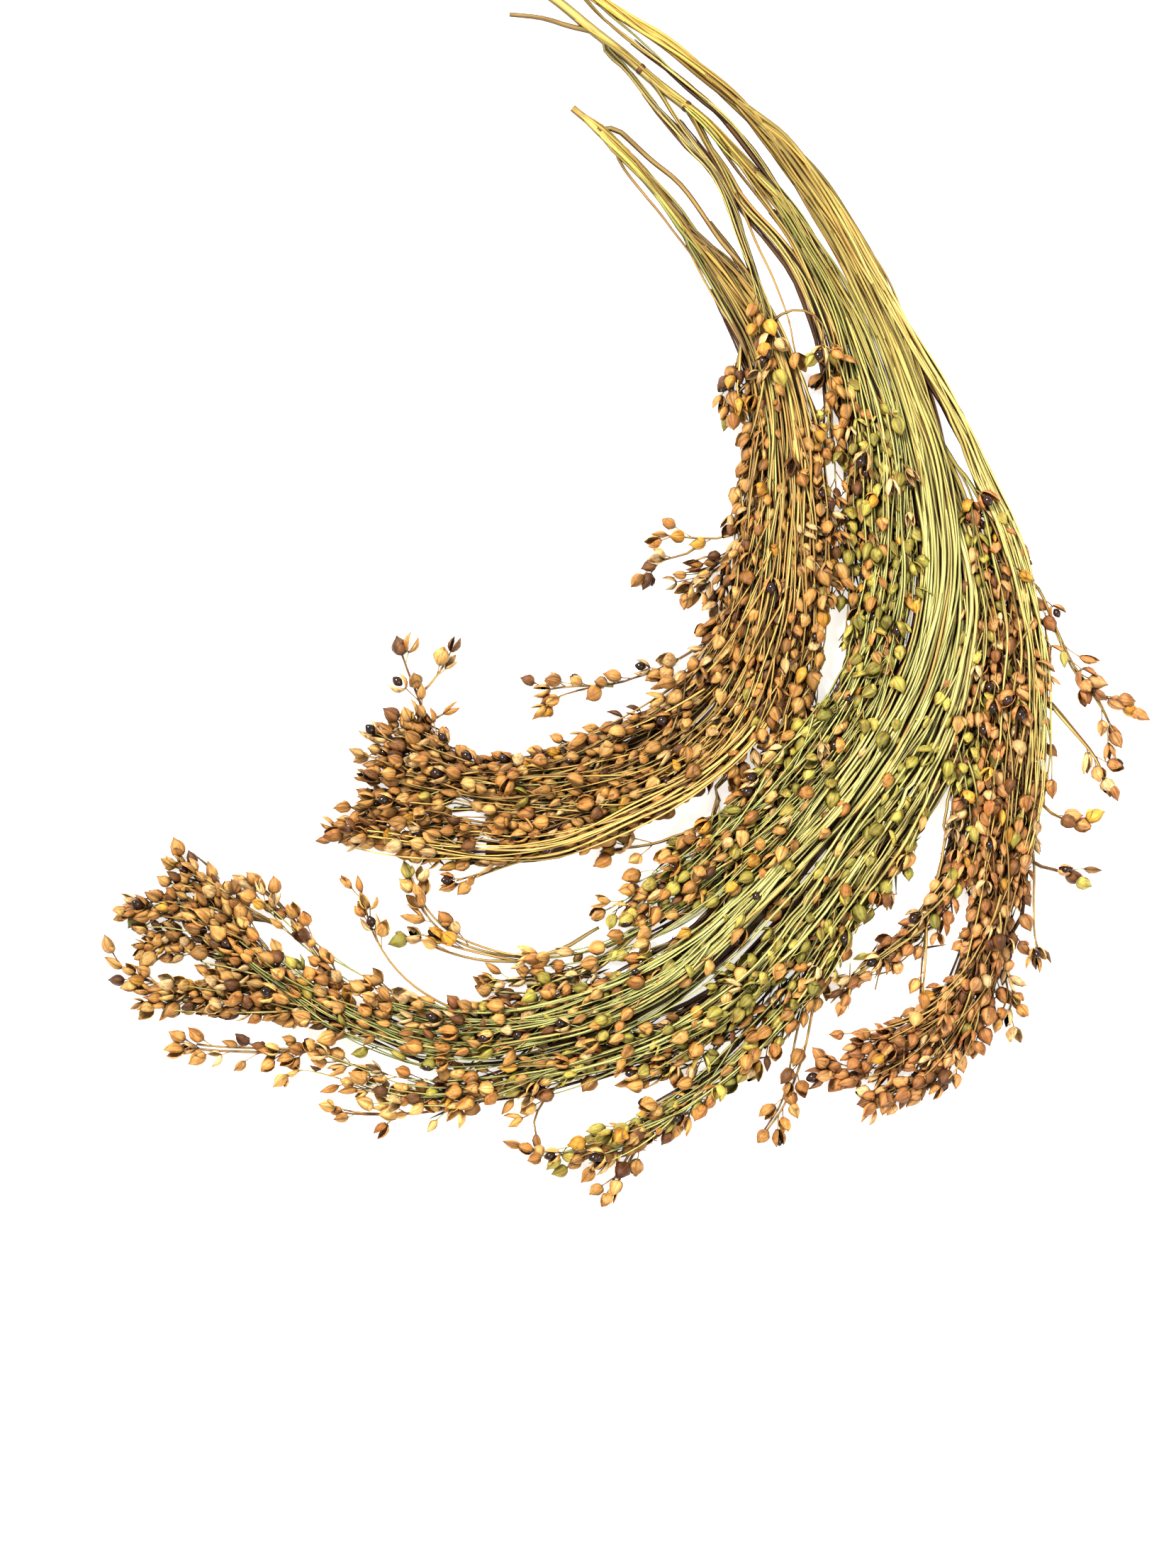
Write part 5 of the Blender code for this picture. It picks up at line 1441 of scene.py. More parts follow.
class Crowding:
    """Remembers where the husks are, in boxes as wide as the nearest distance."""

    def __init__(self):
        self.boxes = {}

    def key(self, p):
        """The box that a point is in."""
        return tuple(int(math.floor(c / NEAREST)) for c in p)

    def is_free(self, p, nearest):
        """Whether no husk is nearer to a point than a distance."""
        x, y, z = self.key(p)
        for i, j, k in product((-1, 0, 1), repeat=3):
            for q in self.boxes.get((x + i, y + j, z + k), ()):
                if (p[0] - q[0]) ** 2 + (p[1] - q[1]) ** 2 + (p[2] - q[2]) ** 2 < nearest ** 2:
                    return False
        return True

    def add(self, p):
        """Takes up the room at a point."""
        self.boxes.setdefault(self.key(p), []).append(p)


def seat(husk, crowding, nearest=NEAREST):
    """The husk as a list if there is room for it, or an empty list."""
    middle = husk.middle()
    if in_a_gap(middle, GAP_MARGIN) or middle[2] > HEAP_TOP:
        return []
    if not crowding.is_free(middle, nearest * husk.size):
        return []
    crowding.add(middle)
    return [husk]


print("husks lie at least", NEAREST, "mm apart")

# %% A husk on its stalk
STALK = (1.6, 5.0)
# How long a stalk without any lean would be, beside one that leans fully
UPRIGHT = 0.5
# How much of a stalk runs along its stem and how much away from it, beside how far that starts
STALK_AHEAD, STALK_AWAY, STALK_OFF = 0.85, 0.34, 0.4
UP_FLATNESS = 0.8
LEAN = (0.1, 0.9)
TIP_UP = (-0.2, 0.3)
HUSK_SIZES = (0.8, 1.12)
# How much of its half-depth a husk keeps over the table at its belly, and at its foot beside that
OVER_TABLE, FOOT_OVER_TABLE = 0.9, 0.8
TO_BELLY = 0.6
TIP_LEAN = 0.1
TIP_HEIGHT = 1.0
TIP_CROWD = 0.8


def husk_at(stem, share, up, lean, title, mix, rng):
    """A husk on a stalk that leaves a stem at a share of the strand, upward (1) or down (-1)."""
    root, ahead = stem.at(share)
    side = np.array([ahead[1], -ahead[0], 0])
    side /= max(np.linalg.norm(side), NEARLY_NONE)
    turn = rng.uniform(0, math.tau)
    away = side * math.cos(turn) + np.array([0, 0, up * abs(math.sin(turn)) * UP_FLATNESS])
    stalk = rng.uniform(*STALK) * (UPRIGHT + (1 - UPRIGHT) * lean)
    foot = root + ahead * stalk * STALK_AHEAD + away * (STALK_OFF + stalk * STALK_AWAY * lean)
    axis = ahead + away * rng.uniform(*LEAN) * lean + np.array([0, 0, rng.uniform(*TIP_UP)])
    axis /= np.linalg.norm(axis)
    size = rng.uniform(*HUSK_SIZES)
    lowest = HUSK_WIDTH / 2 * HUSK_DEPTH * size * OVER_TABLE
    belly = HUSK_LENGTH * size * TO_BELLY
    foot[2] = max(foot[2], lowest * FOOT_OVER_TABLE)
    if foot[2] + axis[2] * belly < lowest:
        axis[2] = (lowest - foot[2]) / belly
        axis /= np.linalg.norm(axis)
    return Husk(foot, axis, root, chosen_kind(mix, rng), size, title, share, rng)


def tip_husk(stem, title, crowding, rng):
    """The husk at the tip of a stem."""
    husk = husk_at(stem, stem.shares[-1], 1, TIP_LEAN, title, "among", rng)
    husk.foot = stem.points[-1].copy()
    husk.foot[2] = max(husk.foot[2], TIP_HEIGHT)
    return seat(husk, crowding, NEAREST * TIP_CROWD)


print("stalks:", STALK, "mm long")

# %% Husks along a strand
TRIES = 14
SPRAY_HUSKS_PER_MM = 0.24
FRINGE = 3
FULL_LEAN = 1.2
UNDER_SPREAD = 0.85
# The husks of these strands sit mostly near the end; the others sit evenly
SPACING = 0.85
LATE = {"pale_left": 0.34, "pale_middle": 0.34, "pale_right": 0.5, "bottom_tail": 0.6}


def husky_size(side, title):
    """The length of a strand that has husks, and its mean width, in mm."""
    strand = PANICLES[side][title]
    length = len(lines[side][title]) * LINE_STEP * (1 - husks_begin(title, strand))
    return length, 2 * sum(strand.widths) / len(strand.widths)


def seat_husks(side, title, group, density, up, mix, crowding, rng):
    """Husks along the stems of one strand."""
    strand = PANICLES[side][title]
    line = lines[side][title]
    first = husks_begin(title, strand)
    length, width = husky_size(side, title)
    wanted = int(length * (SPRAY_HUSKS_PER_MM if is_spray(strand) else density * (width + FRINGE)))
    found = []
    for _ in range(wanted * TRIES):
        if len(found) >= wanted:
            break
        share = first + (1 - first) * rng.random() ** LATE.get(title, SPACING)
        stem = rng.choice(group)
        if share > stem.shares[-1]:
            continue
        husk = husk_at(stem, share, up, FULL_LEAN, title, mix, rng)
        if mix == "under":
            middle = line[round(share * (len(line) - 1))]
            if math.dist(husk.middle()[:2], middle.xy) > between(strand.widths, share) * UNDER_SPREAD:
                continue
        found += seat(husk, crowding)
    return found


crowding = Crowding()
husks = {}
for side, strands in PANICLES.items():
    rng = random.Random(side + " husks")
    husks[side] = []
    for title, group in stems[side].items():
        if strands[title].seeds is None:
            continue
        crowd = CROWDS.get(title, USUAL_CROWD)
        low = [stem for stem in group if not stem.rides] or group
        for stem in low:
            husks[side] += tip_husk(stem, title, crowding, rng)
        husks[side] += seat_husks(side, title, low, crowd.among, 1, "among", crowding, rng)
        if not is_spray(strands[title]):
            below = seat_husks(side, title, group, crowd.under, -1, "under", crowding, rng)
            for husk in below:
                husk.under = True
            husks[side] += below
    print(side, "panicle:", len(husks[side]), "husks")

# %% [markdown]
# ## Stems over the husks
#
# The longest stems lie on top and hold the tress together. They follow the lumpy surface of
# the husks, so that surface is kept as a grid of heights, and each of these stems is
# raised to it with a gentle slope before and after every husk that it crosses.

# %% The crown
# The grid's step and the radius that a husk covers in mm, and where its back is over its middle
CELL = 2.0
FOOTPRINT = 2.2
BACK = 0.85
# How much a stem climbs in each mm
RISE = 0.28


def cell_of(p):
    """The column and the row of the grid that a point is in."""
    return int(math.floor(p[0] / CELL)), int(math.floor(p[1] / CELL))


crown = {}
for side in PANICLES:
    for husk in husks[side]:
        middle = husk.middle()
        top = middle[2] + HUSK_WIDTH / 2 * HUSK_DEPTH * husk.size * BACK
        column, row = cell_of(middle)
        for cell in product((column - 1, column, column + 1), (row - 1, row, row + 1)):
            near = [(number + 0.5) * CELL for number in cell]
            if math.dist(near, middle[:2]) < FOOTPRINT:
                crown[cell] = max(crown.get(cell, 0), top)
print("highest husk:", round(max(crown.values()), 1), "mm")


def lay_over(stem, first, depth):
    """Raises a stem to the crown from a share of the strand on; depth: how far it sinks in."""
    wanted = stem.points[:, 2].copy()
    for k, p in enumerate(stem.points):
        if stem.shares[k] >= first:
            wanted[k] = max(wanted[k], crown.get(cell_of(p), 0) + stem.radii[k] - depth)
    apart = np.abs(np.subtract.outer(np.arange(len(wanted)), np.arange(len(wanted)))) * LINE_STEP
    stem.points[:, 2] = (wanted[None, :] - RISE * apart).max(axis=1)


# %% A short branch
BRANCH_LENGTH = (12, 36)
BRANCH_SLANT = (5, 22)
BRANCH_RETURN = (0.3, 1.1)
BRANCH_RADIUS = (0.3, 0.16)
BRANCH_STOUTNESS = (0.8, 1.3)
BRANCH_SPAN = 0.1
FEWEST_STEPS = 4
# How deep stems sink in between the husks in mm, at random; below zero they lie clear of them
SINK, NO_SINK = (-0.1, 1.8), (-0.2, 0.4)


def branch_off(stem, share, first, rng):
    """A short thin branch that slants away from a stem and bends back along it."""
    root, ahead = stem.at(share)
    slant = math.radians(rng.uniform(*BRANCH_SLANT)) * rng.choice((-1, 1))
    back = -slant * rng.uniform(*BRANCH_RETURN)
    length = rng.uniform(*BRANCH_LENGTH)
    count = max(FEWEST_STEPS, int(length / LINE_STEP))
    heading = math.atan2(ahead[1], ahead[0]) + slant
    turn = stem.turn_ahead(share, length)
    points = [root.copy()]
    for _ in range(count):
        heading += (back + turn) / count
        points.append(points[-1] + np.array([math.cos(heading), math.sin(heading), 0]) * length / count)
    foot, tip = BRANCH_RADIUS
    radii = np.linspace(foot * rng.uniform(*BRANCH_STOUTNESS), tip, count + 1)
    branch = Stem(np.array(points), radii, np.linspace(share, min(share + BRANCH_SPAN, 1), count + 1))
    lay_over(branch, first, rng.uniform(*SINK))
    return branch


print("short branches:", BRANCH_LENGTH, "mm long")

# %% Long stems and short branches on top
# Short branches to a square millimetre of the strand
BRANCH_DENSITY = 0.03
BRANCHES = {"pale_left": 0.008, "pale_middle": 0.008, "pale_right": 0.012, "outer": 0.008}
BRANCH_MARGIN = 2.0
LAST_BRANCH = 0.97
ON_TOP = ("outer", "band_straw", "pale_left", "pale_middle")
# Where stems rise over the husks, from 0 to 1, in a strand that does so before its own husks begin
RISES_AT = {"band_straw": 0.55}
RISES_BEFORE = 0.03


def stays_inside(branch, strand, line):
    """Whether a branch ends within the width of its strand."""
    tip = branch.points[-1]
    apart, place = min((math.dist(tip[:2], p.xy), k) for k, p in enumerate(line))
    return apart < between(strand.widths, place / (len(line) - 1)) + BRANCH_MARGIN and place < len(line) - 1


branches = {}
for side, strands in PANICLES.items():
    rng = random.Random(side + " branches")
    branches[side] = []
    for title, group in stems[side].items():
        strand = strands[title]
        if strand.seeds is None:
            continue
        first = husks_begin(title, strand)
        riders = [stem for stem in group if stem.rides]
        for stem in riders:
            rises_at = RISES_AT.get(title, first - RISES_BEFORE)
            lay_over(stem, rises_at, rng.uniform(*(NO_SINK if title in ON_TOP else SINK)))
            husks[side] += tip_husk(stem, title, crowding, rng)
        if riders:
            over = CROWDS.get(title, USUAL_CROWD).over
            husks[side] += seat_husks(side, title, riders, over, 1, "among", crowding, rng)
        if is_spray(strand):
            continue
        length, width = husky_size(side, title)
        for _ in range(int(length * width * BRANCHES.get(title, BRANCH_DENSITY))):
            stem = rng.choice(group)
            share = first + (stem.shares[-1] - first) * rng.uniform(0, LAST_BRANCH)
            if share < stem.shares[-1]:
                branch = branch_off(stem, share, first, rng)
                inside = stays_inside(branch, strand, lines[side][title])
                if inside and not any(in_a_gap(p) for p in branch.points):
                    branches[side].append((title, branch))
                    husks[side] += tip_husk(branch, title, crowding, rng)
    print(side, "panicle:", len(branches[side]), "short branches,", len(husks[side]), "husks in all")

# %% [markdown]
# ## A few husks at listed places
#
# Some husks catch the eye: golden ones, pale torn ones, and open ones that still hold
# their dark grain. At each of these places the topmost husk is changed into one of those.

# %% Husks that catch the eye
GOLDEN_AT = (
    (35, 54), (38, 54), (36, 47), (27, 44), (29, 41), (28, 47), (31, 36), (35, 36), (34, 14), (36, -2),
    (38, -10), (50, 32), (50, 29), (51.5, 24), (95, -69), (88, -61), (62, -58), (60, -62), (30, -78),
    (24, -86),
)
TORN_AT = ((57, 6), (65, 17), (73, 15), (75, 7), (105, -74), (107, -79), (62, -53))
GRAINS_AT = (
    (47, 50), (58, 21.5), (36, 43), (39, -11), (90, 11), (92.5, 11), (3.5, -32), (0.5, -36), (-47, -35),
    (-56.5, -38), (-65.5, -45.5), (-45, -48), (-38, -53), (-31, -52.5), (-71, -54), (-62, -67),
    (-70, -78.5), (-74, -80.5), (-43, -84), (-45.5, -87), (11, -60), (28, -63), (32, -62), (36, -89.5),
    (91, -43), (97, -45), (72, -92), (63, -105), (47, -133), (15, -147), (-5, -155), (-4, -159),
    (-18, -157), (-12, -98), (-26, -125), (-14, -123), (-122, -91), (-103, -102), (-87, -113),
    (-66, -96.5), (-48, -117), (105, -106), (112.5, -16.5), (78, -29), (90, -34), (8, -45), (-47, -57),
)
BY_HAND_REACH = 3.5
HAND_LIFT = 0.5


def topmost(x, y):
    """The husk that one sees at a place."""
    near = [
        husk for group in husks.values() for husk in group
        if not husk.under and math.dist(husk.middle()[:2], (x, y)) < BY_HAND_REACH
    ]
    return max(near, key=lambda husk: husk.middle()[2], default=None)


# What the husks at each group of places become: their kind, their colours, and whether a grain shows
BY_HAND = (
    (GOLDEN_AT, None, "golden", False),
    (TORN_AT, "torn", "paper", False),
    (GRAINS_AT, "spread", None, True),
)
changed = 0
for places, kind, family, grain in BY_HAND:
    for place in places:
        husk = topmost(*place)
        if husk:
            husk.kind, husk.family, husk.grain = kind or husk.kind, family, grain
            husk.foot[2] += HAND_LIFT
            changed += 1
print(changed, "husks changed by hand")

# %% [markdown]
# ## Broken straw between
#
# The space between the husks is full of broken bits of straw and stalk, browner than the
# stems and darkened with painted shade the deeper they lie. They lie more or less the way that
# the stems beside them do.

# %% Bits of straw
# How many to a square millimetre of the strand
LITTER_DENSITY = 0.36
LITTER_LENGTH = (5, 13)
LITTER_RADIUS = 0.45
LITTER_SLANT, LITTER_TILT = 40, 0.08
LITTER_ASIDE = 2
LITTER_BOW, LITTER_ARCH = 0.5, 0.2
# They lie between this height over the table and this depth below the crown, most of them deep
LITTER_BOTTOM, LITTER_DEPTH, LITTER_DEEPER = 0.6, 1.6, 1.6
LEAST_CROWN = 1
# How much browner than the stems they are, and how light the painted shade leaves the deepest ones
LITTER_BROWN, LITTER_BROWN_SPREAD = -0.35, 0.4
DEEPEST_PAINTED_SHADE = 0.12
LITTER_LIGHT = (0.6, 1)


def bit_of_straw(middle, ahead, depth, rng):
    """The ends and the middle of a bit of straw that lies about along a direction."""
    middle[2] = LITTER_BOTTOM + (middle[2] - LITTER_BOTTOM) * depth
    heading = math.atan2(ahead[1], ahead[0]) + math.radians(rng.uniform(-LITTER_SLANT, LITTER_SLANT))
    half = rng.uniform(*LITTER_LENGTH) / 2
    tilt = rng.uniform(-LITTER_TILT, LITTER_TILT)
    step = np.array([math.cos(heading), math.sin(heading), tilt]) * half
    bow = [rng.uniform(-LITTER_BOW, LITTER_BOW), rng.uniform(-LITTER_BOW, LITTER_BOW), LITTER_ARCH]
    bit = [middle - step, middle + np.array(bow), middle + step]
    for p in bit:
        p[2] = max(p[2], LITTER_RADIUS)
    return bit


def bits_of_straw(side, title, rng):
    """Short bits between the stems and husks of one strand, each with its colour."""
    group = stems[side][title]
    first = husks_begin(title, PANICLES[side][title])
    length, width = husky_size(side, title)
    tones = TONES.get(title, TONES[side])
    found = []
    for _ in range(int(length * width * LITTER_DENSITY)):
        stem = rng.choice(group)
        share = first + (stem.shares[-1] - first) * rng.random()
        if share >= stem.shares[-1]:
            continue
        root, ahead = stem.at(share)
        aside = [rng.uniform(-LITTER_ASIDE, LITTER_ASIDE), rng.uniform(-LITTER_ASIDE, LITTER_ASIDE), 0]
        middle = root + np.array(aside)
        middle[2] = crown.get(cell_of(middle), 0) - LITTER_DEPTH
        if middle[2] < LEAST_CROWN or in_a_gap(middle, GAP_MARGIN / 2):
            continue
        depth = rng.random() ** LITTER_DEEPER
        bit = bit_of_straw(middle, ahead, depth, rng)
        if all(crown.get(cell_of(p), 0) > 0 for p in bit):
            tone = between(tones, share) + rng.gauss(LITTER_BROWN, LITTER_BROWN_SPREAD)
            # Painted shade: the deeper a bit lies, the darker it is
            light = DEEPEST_PAINTED_SHADE + (1 - DEEPEST_PAINTED_SHADE) * depth
            found.append((bit, straw_colour(tone) * light * rng.uniform(*LITTER_LIGHT)))
    return found


litter = {}
for side, strands in PANICLES.items():
    rng = random.Random(side + " litter")
    litter[side] = [
        bit for title, strand in strands.items() if strand.seeds is not None and not is_spray(strand)
        for bit in bits_of_straw(side, title, rng)
    ]
    print(side, "panicle:", len(litter[side]), "bits of straw")

# %% [markdown]
# ## The stems' meshes
#
# A culm is smooth and thick, with a dark collar at each joint. Every stem gets a tube of its
# own. It keeps the tone of its strand, with a small difference of its own that grows toward
# the tip, and a few have dried to brown. Stems are painted darkest where they leave the culm,
# as shade at the foot of the tress.

# %% The colour of a stem
# How far one stem's tone is off its strand's, in pale strands and in the others
OWN_PALE, OWN_STRAW = 0.14, 0.26
# How many of them have dried to brown, and how much lower their tone is
DRIED_PALE, DRIED_STRAW, DRIED_TONE = 0.04, 0.13, 0.7
# Stems on top of the husks are painted lighter and those among them darker, with a spread at random
RIDER_PAINTED_LIGHT, AMONG_PAINTED_SHADE, LIGHT_SPREAD, LEAST_LIGHT = 1.15, 0.92, 0.18, 0.5
BRIGHT = {
    "band_straw": 1.25, "dry_branch": 0.6, "outer": 1.1,
    "green_edge": 1.15, "green_middle": 1.15, "green_inner": 1.15,
}
# Shares of the strand and, at each, how much of its own difference a stem shows, how light
# it is, with painted shade near the culm, and how blue it is; below 0 it still runs beside the culm
VARIETY = ((0.05, 0.3), (2.0, 1.0))
CULM_PAINTED_SHADE = ((-0.3, -0.05, 0.03, 0.32), (1.0, 0.5, 0.4, 1.0))
CULM_BLUE = ((0.0, 0.3), (0.66, 1.0))
# Each stem takes its ribs from another place of the noise
RIBS_APART = 500


def stem_hues(side, stem, title, rng):
    """The colour of a stem at each of its points."""
    strand = PANICLES[side][title]
    usual = SPRAY_TONES if is_spray(strand) and strand.seeds is not None else TONES[side]
    tones = TONES.get(title, usual)
    pale = title in STOUT_STRANDS + FINE_STRANDS
    own = rng.gauss(0, OWN_PALE if pale else OWN_STRAW)
    dried = DRIED_TONE if rng.random() < (DRIED_PALE if pale else DRIED_STRAW) else 0
    # Painted light on stems on top, painted shade on stems among the husks
    light = max(rng.gauss(RIDER_PAINTED_LIGHT if stem.rides else AMONG_PAINTED_SHADE, LIGHT_SPREAD), LEAST_LIGHT)
    hues = []
    for share in stem.shares:
        colour = straw_colour(between(tones, share) + own * np.interp(share, *VARIETY) - dried)
        # Painted light and shade: lighter on top of the husks, darker among them and near the culm
        shade = light * BRIGHT.get(title, 1) * np.interp(share, *CULM_PAINTED_SHADE)
        hues.append([*colour * shade * (1, 1, np.interp(share, *CULM_BLUE)), 1])
    return hues


def add_stem(gather, side, stem, title, sides, rng):
    """Gathers the tube of one stem."""
    hues = stem_hues(side, stem, title, rng)
    points, faces, ways, reaches = tube(stem.points, stem.radii, sides)
    ways[:, 2] += rng.uniform(0, RIBS_APART)
    gather.add(points, faces, np.repeat(hues, sides, axis=0), ways, reaches)


print("one stem in", round(1 / DRIED_STRAW), "has dried to brown")

# %% The culms
CULM_SIDES, CULM_FLATNESS = 14, 0.85
# How thick the bare culm is beside its strand
CULM_CORE = {"left": 0.9, "middle": 1.0, "right": 0.6}
CULM_COLOURS = {
    "left": GOLD_STRAW * 0.7 + PALE_GREEN * 0.1,
    "middle": GOLD_STRAW * 0.5 + PALE_GREEN * 0.42,
    "right": GOLD_STRAW * 0.92,
}
# Where the joints are, from 0 to 1, and the collar round each
JOINTS = {"left": (0.18, 0.62), "middle": (0.53, 0.66, 0.87), "right": (0.42, 0.74, 0.9)}
COLLAR_HALF = 0.7
COLLAR_RADII = np.array((0.95, 1, 0.9))
COLLAR_OVER = 1.12
COLLAR_SIDES, COLLAR_FLATNESS = 12, 0.9
COLLAR_SKEW = 0.1
COLLAR_SHADE = 0.7


def add_culm(gather, side, rng):
    """Gathers a culm and the collars round its joints."""
    line = lines[side]["culm"]
    last = len(line) - 1
    widths = PANICLES[side]["culm"].widths
    radii = [between(widths, k / last) * CULM_CORE[side] for k in range(last + 1)]
    points, faces, ways, reaches = tube(line, radii, CULM_SIDES, CULM_FLATNESS)
    gather.add(points, faces, CULM_COLOURS[side], ways, reaches)
    for share in JOINTS[side]:
        place = round(share * last)
        step = (line[place + 1] - line[place]).normalized() * COLLAR_HALF
        collar = [line[place] - step, line[place], line[place] + step]
        round_it = COLLAR_RADII * radii[place] * COLLAR_OVER
        points, faces, ways, reaches = tube(collar, round_it, COLLAR_SIDES, COLLAR_FLATNESS)
        points[:COLLAR_SIDES, :2] += rng.uniform(0, COLLAR_SKEW)
        gather.add(points, faces, DRY_BROWN * COLLAR_SHADE, ways, reaches)


print("joints:", {side: len(shares) for side, shares in JOINTS.items()})

# %% All stems
STOUT_SIDES, BRANCH_SIDES, BED_TUBE_SIDES, LITTER_SIDES = 5, 4, 3, 3
LITTER_RADII = (0.1, LITTER_RADIUS, 0.1)
LITTER_FLATNESS = 0.6
# How dark the stems of the bed are, as painted shade on dry brown
BED_PAINTED_SHADES = (0.3, 0.8)
for side in PANICLES:
    rng = random.Random(side + " colour")
    gather = Gather(side + "_stems", "straw_stems", "panicle_" + side, straw_finish)
    for title, group in stems[side].items():
        sides = STOUT_SIDES if title in STOUT_STRANDS else BRANCH_SIDES
        for stem in group:
            add_stem(gather, side, stem, title, sides, rng)
    for title, branch in branches[side]:
        add_stem(gather, side, branch, title, BRANCH_SIDES, rng)
    for bit, colour in litter[side]:
        points, faces, ways, reaches = tube(bit, LITTER_RADII, LITTER_SIDES, LITTER_FLATNESS)
        gather.add(points, faces, colour, ways, reaches)
    for stem in beds[side]:
        points, faces, ways, reaches = tube(stem.points, stem.radii, BED_TUBE_SIDES)
        gather.add(points, faces, DRY_BROWN * rng.uniform(*BED_PAINTED_SHADES), ways, reaches)
    add_culm(gather, side, rng)
    gather.finish()

# %% [markdown]
# ## The colours of the husks
#
# Ripe husks dry to tan and to a pinkish brown, those picked unripe stay yellow-green, and a
# few turn golden. The mix changes from strand to strand and along it.

# %% Husk colours
FAMILIES = {
    "tan": ((214, 162, 88), (200, 144, 72), (224, 176, 100), (182, 126, 60), (206, 152, 78)),
    "pinkish": ((204, 148, 86), (190, 132, 72), (216, 162, 100), (174, 116, 62)),
    "green": ((182, 168, 74), (166, 156, 64), (192, 180, 86), (148, 142, 60)),
    "golden": ((226, 172, 64), (210, 152, 50)),
    "paper": ((232, 196, 138), (222, 184, 122)),
    "dark": ((128, 84, 42), (106, 66, 30)),
}
FAMILIES = {family: [srgb(*colour) for colour in colours] for family, colours in FAMILIES.items()}
print("families of colour:", ", ".join(FAMILIES))

# %% How green the husks are
# How many of each hundred husks are green, evenly spaced along each strand
GREENNESS = {
    "left": (3, 2, 1),
    "middle": (30, 30, 12),
    "green_edge": (55, 70, 50, 20),
    "green_middle": (65, 80, 60, 20),
    "green_inner": (70, 80, 70, 35, 10),
    "between_left": (10, 12, 10),
    "between_right": (30, 50, 45),
    "right": (12, 4, 0),
    "pale_left": (75, 80, 80, 80, 55, 25, 4, 1),
    "pale_middle": (75, 75, 75, 80, 60, 30, 6, 1),
    "pale_right": (60, 65, 75, 75, 60, 40, 15, 6),
    "bottom_tail": (40, 45, 65, 75, 60, 40, 20, 8),
    "outer": (30, 30, 20, 8, 2),
    "column_left": (60, 45, 25, 5, 0),
    "column_middle": (35, 25, 6, 0, 0),
    "column_right": (15, 5, 0, 0),
    "inner_fill": (85, 75, 60, 30, 10),
}
# The husks at the end of the long tail have lost nearly all green
HEAD_STRANDS = tuple(title for title in RIGHT if title.startswith("head"))
GREENNESS.update(dict.fromkeys(HEAD_STRANDS, (2, 2)))
print("strands with nearly no green husks:", len(HEAD_STRANDS))

# %% The colour of a husk
PINK_STRANDS = ("column_left", "column_middle", "column_right", "tail_low", "outer", "side_tips_upper",
                "side_tips_middle", "side_tips_low", "side_tips_lowest", "side_tips_far")
# Shares of all husks that aren't green, and of the open ones among them
GOLDEN_SHARE, DARK_SHARE, PAPER_SHARE = 0.04, 0.1, 0.4
# How light husks are: those below are darkened as painted shade, and some strands are darker
UNDER_PAINTED_SHADES = (0.25, 0.75)
HUSK_LIGHT, HUSK_LIGHT_SPREAD = 1.03, 0.15
LEFT_SHADE, HEAD_SHADE = 0.82, 0.74
DARKEST, LIGHTEST = 0.15, 1.35


def husk_colour(side, husk, rng):
    """One of the colours that husks have at this place, a little lighter or darker."""
    greenness = between(GREENNESS.get(husk.strand, GREENNESS[side]), husk.share) / 100
    draw = rng.random()
    if husk.family:
        family = husk.family
    elif draw < greenness:
        family = "green"
    elif draw > 1 - GOLDEN_SHARE:
        family = "golden"
    elif husk.kind in ("spread", "torn") and rng.random() < PAPER_SHARE:
        family = "paper"
    elif rng.random() < DARK_SHARE:
        family = "dark"
    else:
        family = "pinkish" if husk.strand in PINK_STRANDS else "tan"
    # Husks below the others get painted shade
    light = rng.uniform(*UNDER_PAINTED_SHADES) if husk.under else rng.gauss(HUSK_LIGHT, HUSK_LIGHT_SPREAD)
    if side == "left":
        light *= LEFT_SHADE
    if husk.strand in HEAD_STRANDS:
        light *= HEAD_SHADE
    return np.array(rng.choice(FAMILIES[family])) * min(max(light, DARKEST), LIGHTEST)


print("husks in the shade are", UNDER_PAINTED_SHADES, "times as light")

# %% From a shape to its seat
# How a stalk bends: its middle lies half on the straight way and half behind the husk's foot
HALF_WAY = 0.5
STALK_BEFORE, STALK_AFTER = 0.7, 0.4
STALK_INTO_HUSK = 0.3


def turned(shape, husk):
    """A shape's points, moved to a husk's seat."""
    axis = Vector(husk.axis)
    across = UP.cross(axis).normalized() if husk.grain else axis.orthogonal().normalized()
    other = axis.cross(across)
    c, s = (1, 0) if husk.grain else (math.cos(husk.roll), math.sin(husk.roll))
    first = np.array(across * c + other * s)
    second = np.array(other * c - across * s)
    points = shape.points * husk.size
    return husk.foot + points[:, :1] * first + points[:, 1:2] * second + points[:, 2:] * husk.axis


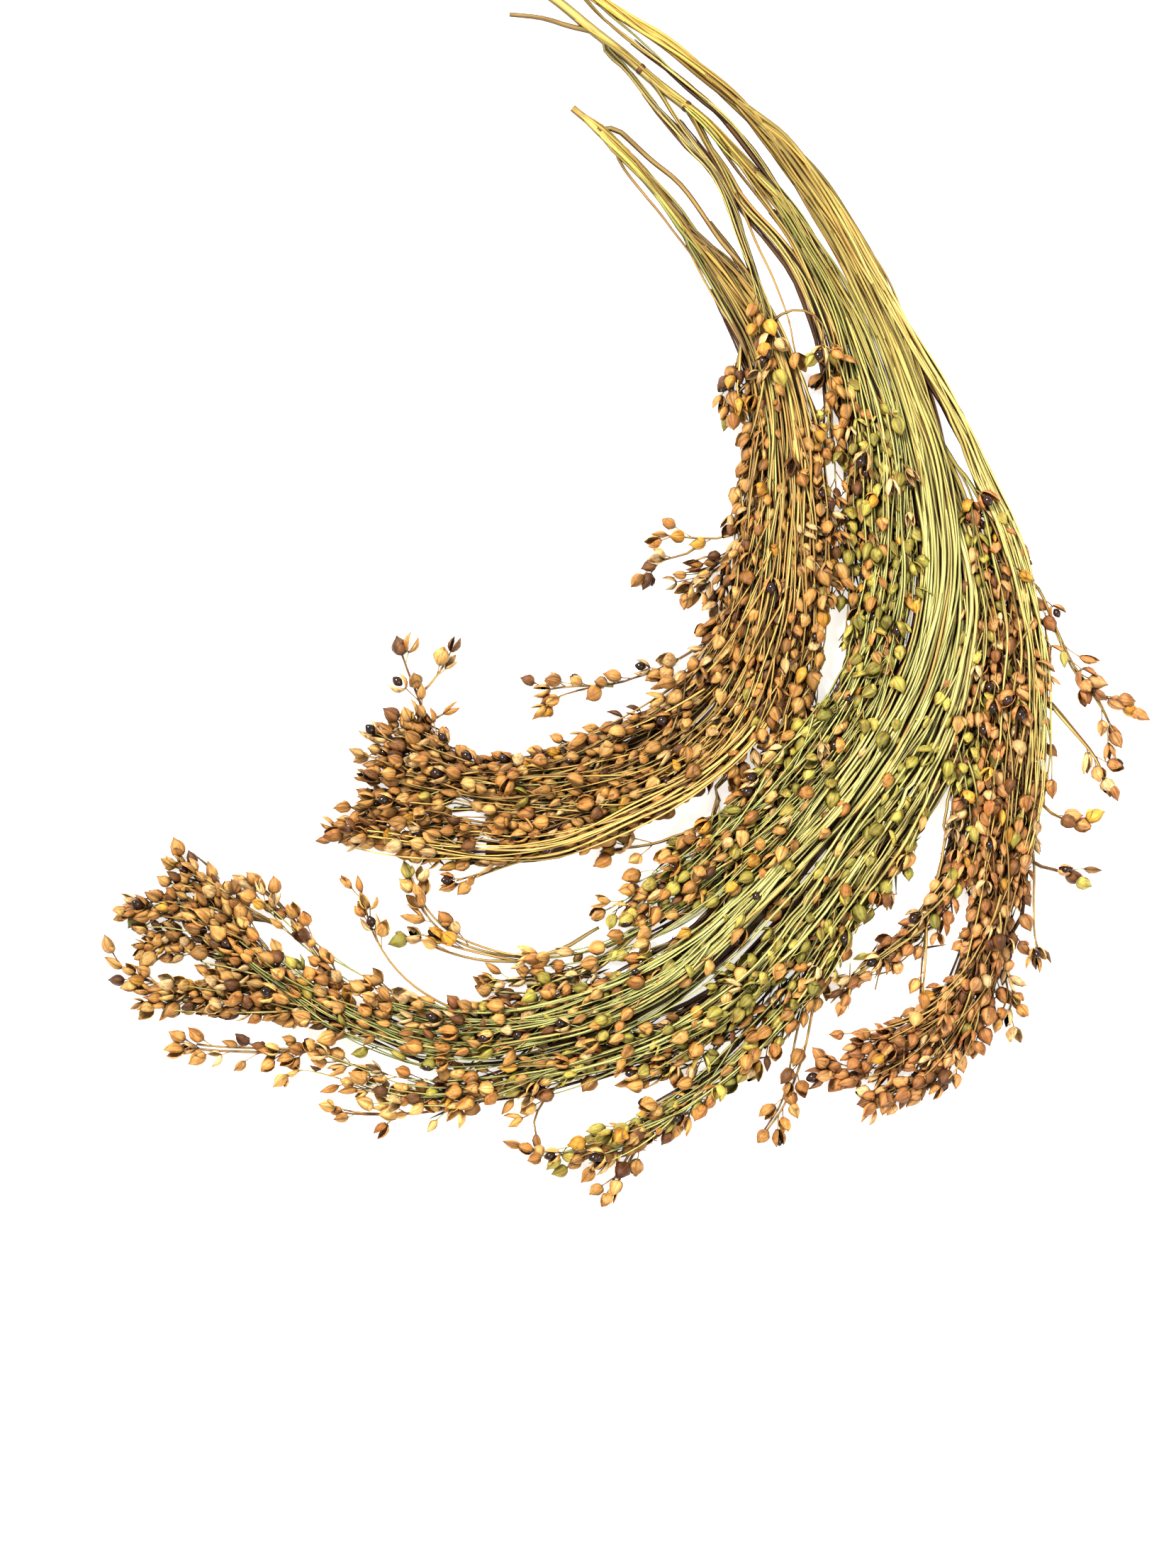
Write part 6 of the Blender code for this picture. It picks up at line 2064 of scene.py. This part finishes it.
def stalk_line(husk):
    """A thin stalk from the stem to the foot of the husk, in a soft bend."""
    straight = (husk.root + husk.foot) / 2
    behind = husk.foot - husk.axis * np.linalg.norm(husk.foot - husk.root) * HALF_WAY
    middle = straight * HALF_WAY + HALF_WAY * behind
    return [
        husk.root,
        husk.root * (1 - STALK_BEFORE) + middle * STALK_BEFORE,
        husk.foot * (1 - STALK_AFTER) + middle * STALK_AFTER,
        husk.foot + husk.axis * STALK_INTO_HUSK,
    ]


print("a stalk goes", STALK_INTO_HUSK, "mm into its husk")

# %% All husks
SHORTEST_STALK = 0.6
STALK_SIDES = 3
STALK_RADII = (0.2, 0.18, 0.17, 0.26)
STALK_COLOURS = (FAMILIES["tan"][1], FAMILIES["tan"][3], STRAW, STRAW, PALE_GREEN, DRY_BROWN)
# How far a grain sits out of its husk's middle, and how far up from its foot
GRAIN_OUT, GRAIN_UP = 0.95, HUSK_LENGTH * 0.24
GAPING_WITH_GRAIN = 0.3
GRAIN_TINT = (1, 1, 1)
NERVES_APART = 60
SLOTS = {"left": "tan_husks", "middle": "green_husks", "right": "brown_husks"}
for side in PANICLES:
    rng = random.Random(side + " finish")
    node = "panicle_" + side
    shells = Gather(side + "_husks", SLOTS[side], node, husk_finish)
    stalks = Gather(side + "_stalks", "straw_stems", node, straw_finish)
    grains = Gather(side + "_grains", "dark_grains", node, grain_finish)
    for husk in husks[side]:
        shape = rng.choice(KINDS[husk.kind])
        ways = shape.ways + (0, 0, rng.uniform(0, NERVES_APART))
        hues = husk_colour(side, husk, rng) * shape.shades[:, None]
        hues = np.append(hues, np.ones((len(hues), 1)), 1)
        shells.add(turned(shape, husk), shape.faces, hues, ways, shape.reaches)
        if not husk.under and np.linalg.norm(husk.foot - husk.root) > SHORTEST_STALK:
            points, faces, ways, reaches = tube(stalk_line(husk), STALK_RADII, STALK_SIDES)
            stalks.add(points, faces, rng.choice(STALK_COLOURS), ways, reaches)
        if husk.grain or (husk.kind == "gaping" and rng.random() < GAPING_WITH_GRAIN):
            seated = GRAIN._replace(points=GRAIN.points + (0, GRAIN_OUT, GRAIN_UP))
            ways = GRAIN.ways + (0, 0, rng.uniform(0, NERVES_APART))
            grains.add(turned(seated, husk), GRAIN.faces, GRAIN_TINT, ways, GRAIN.reaches)
    shells.finish()
    stalks.finish()
    grains.finish()
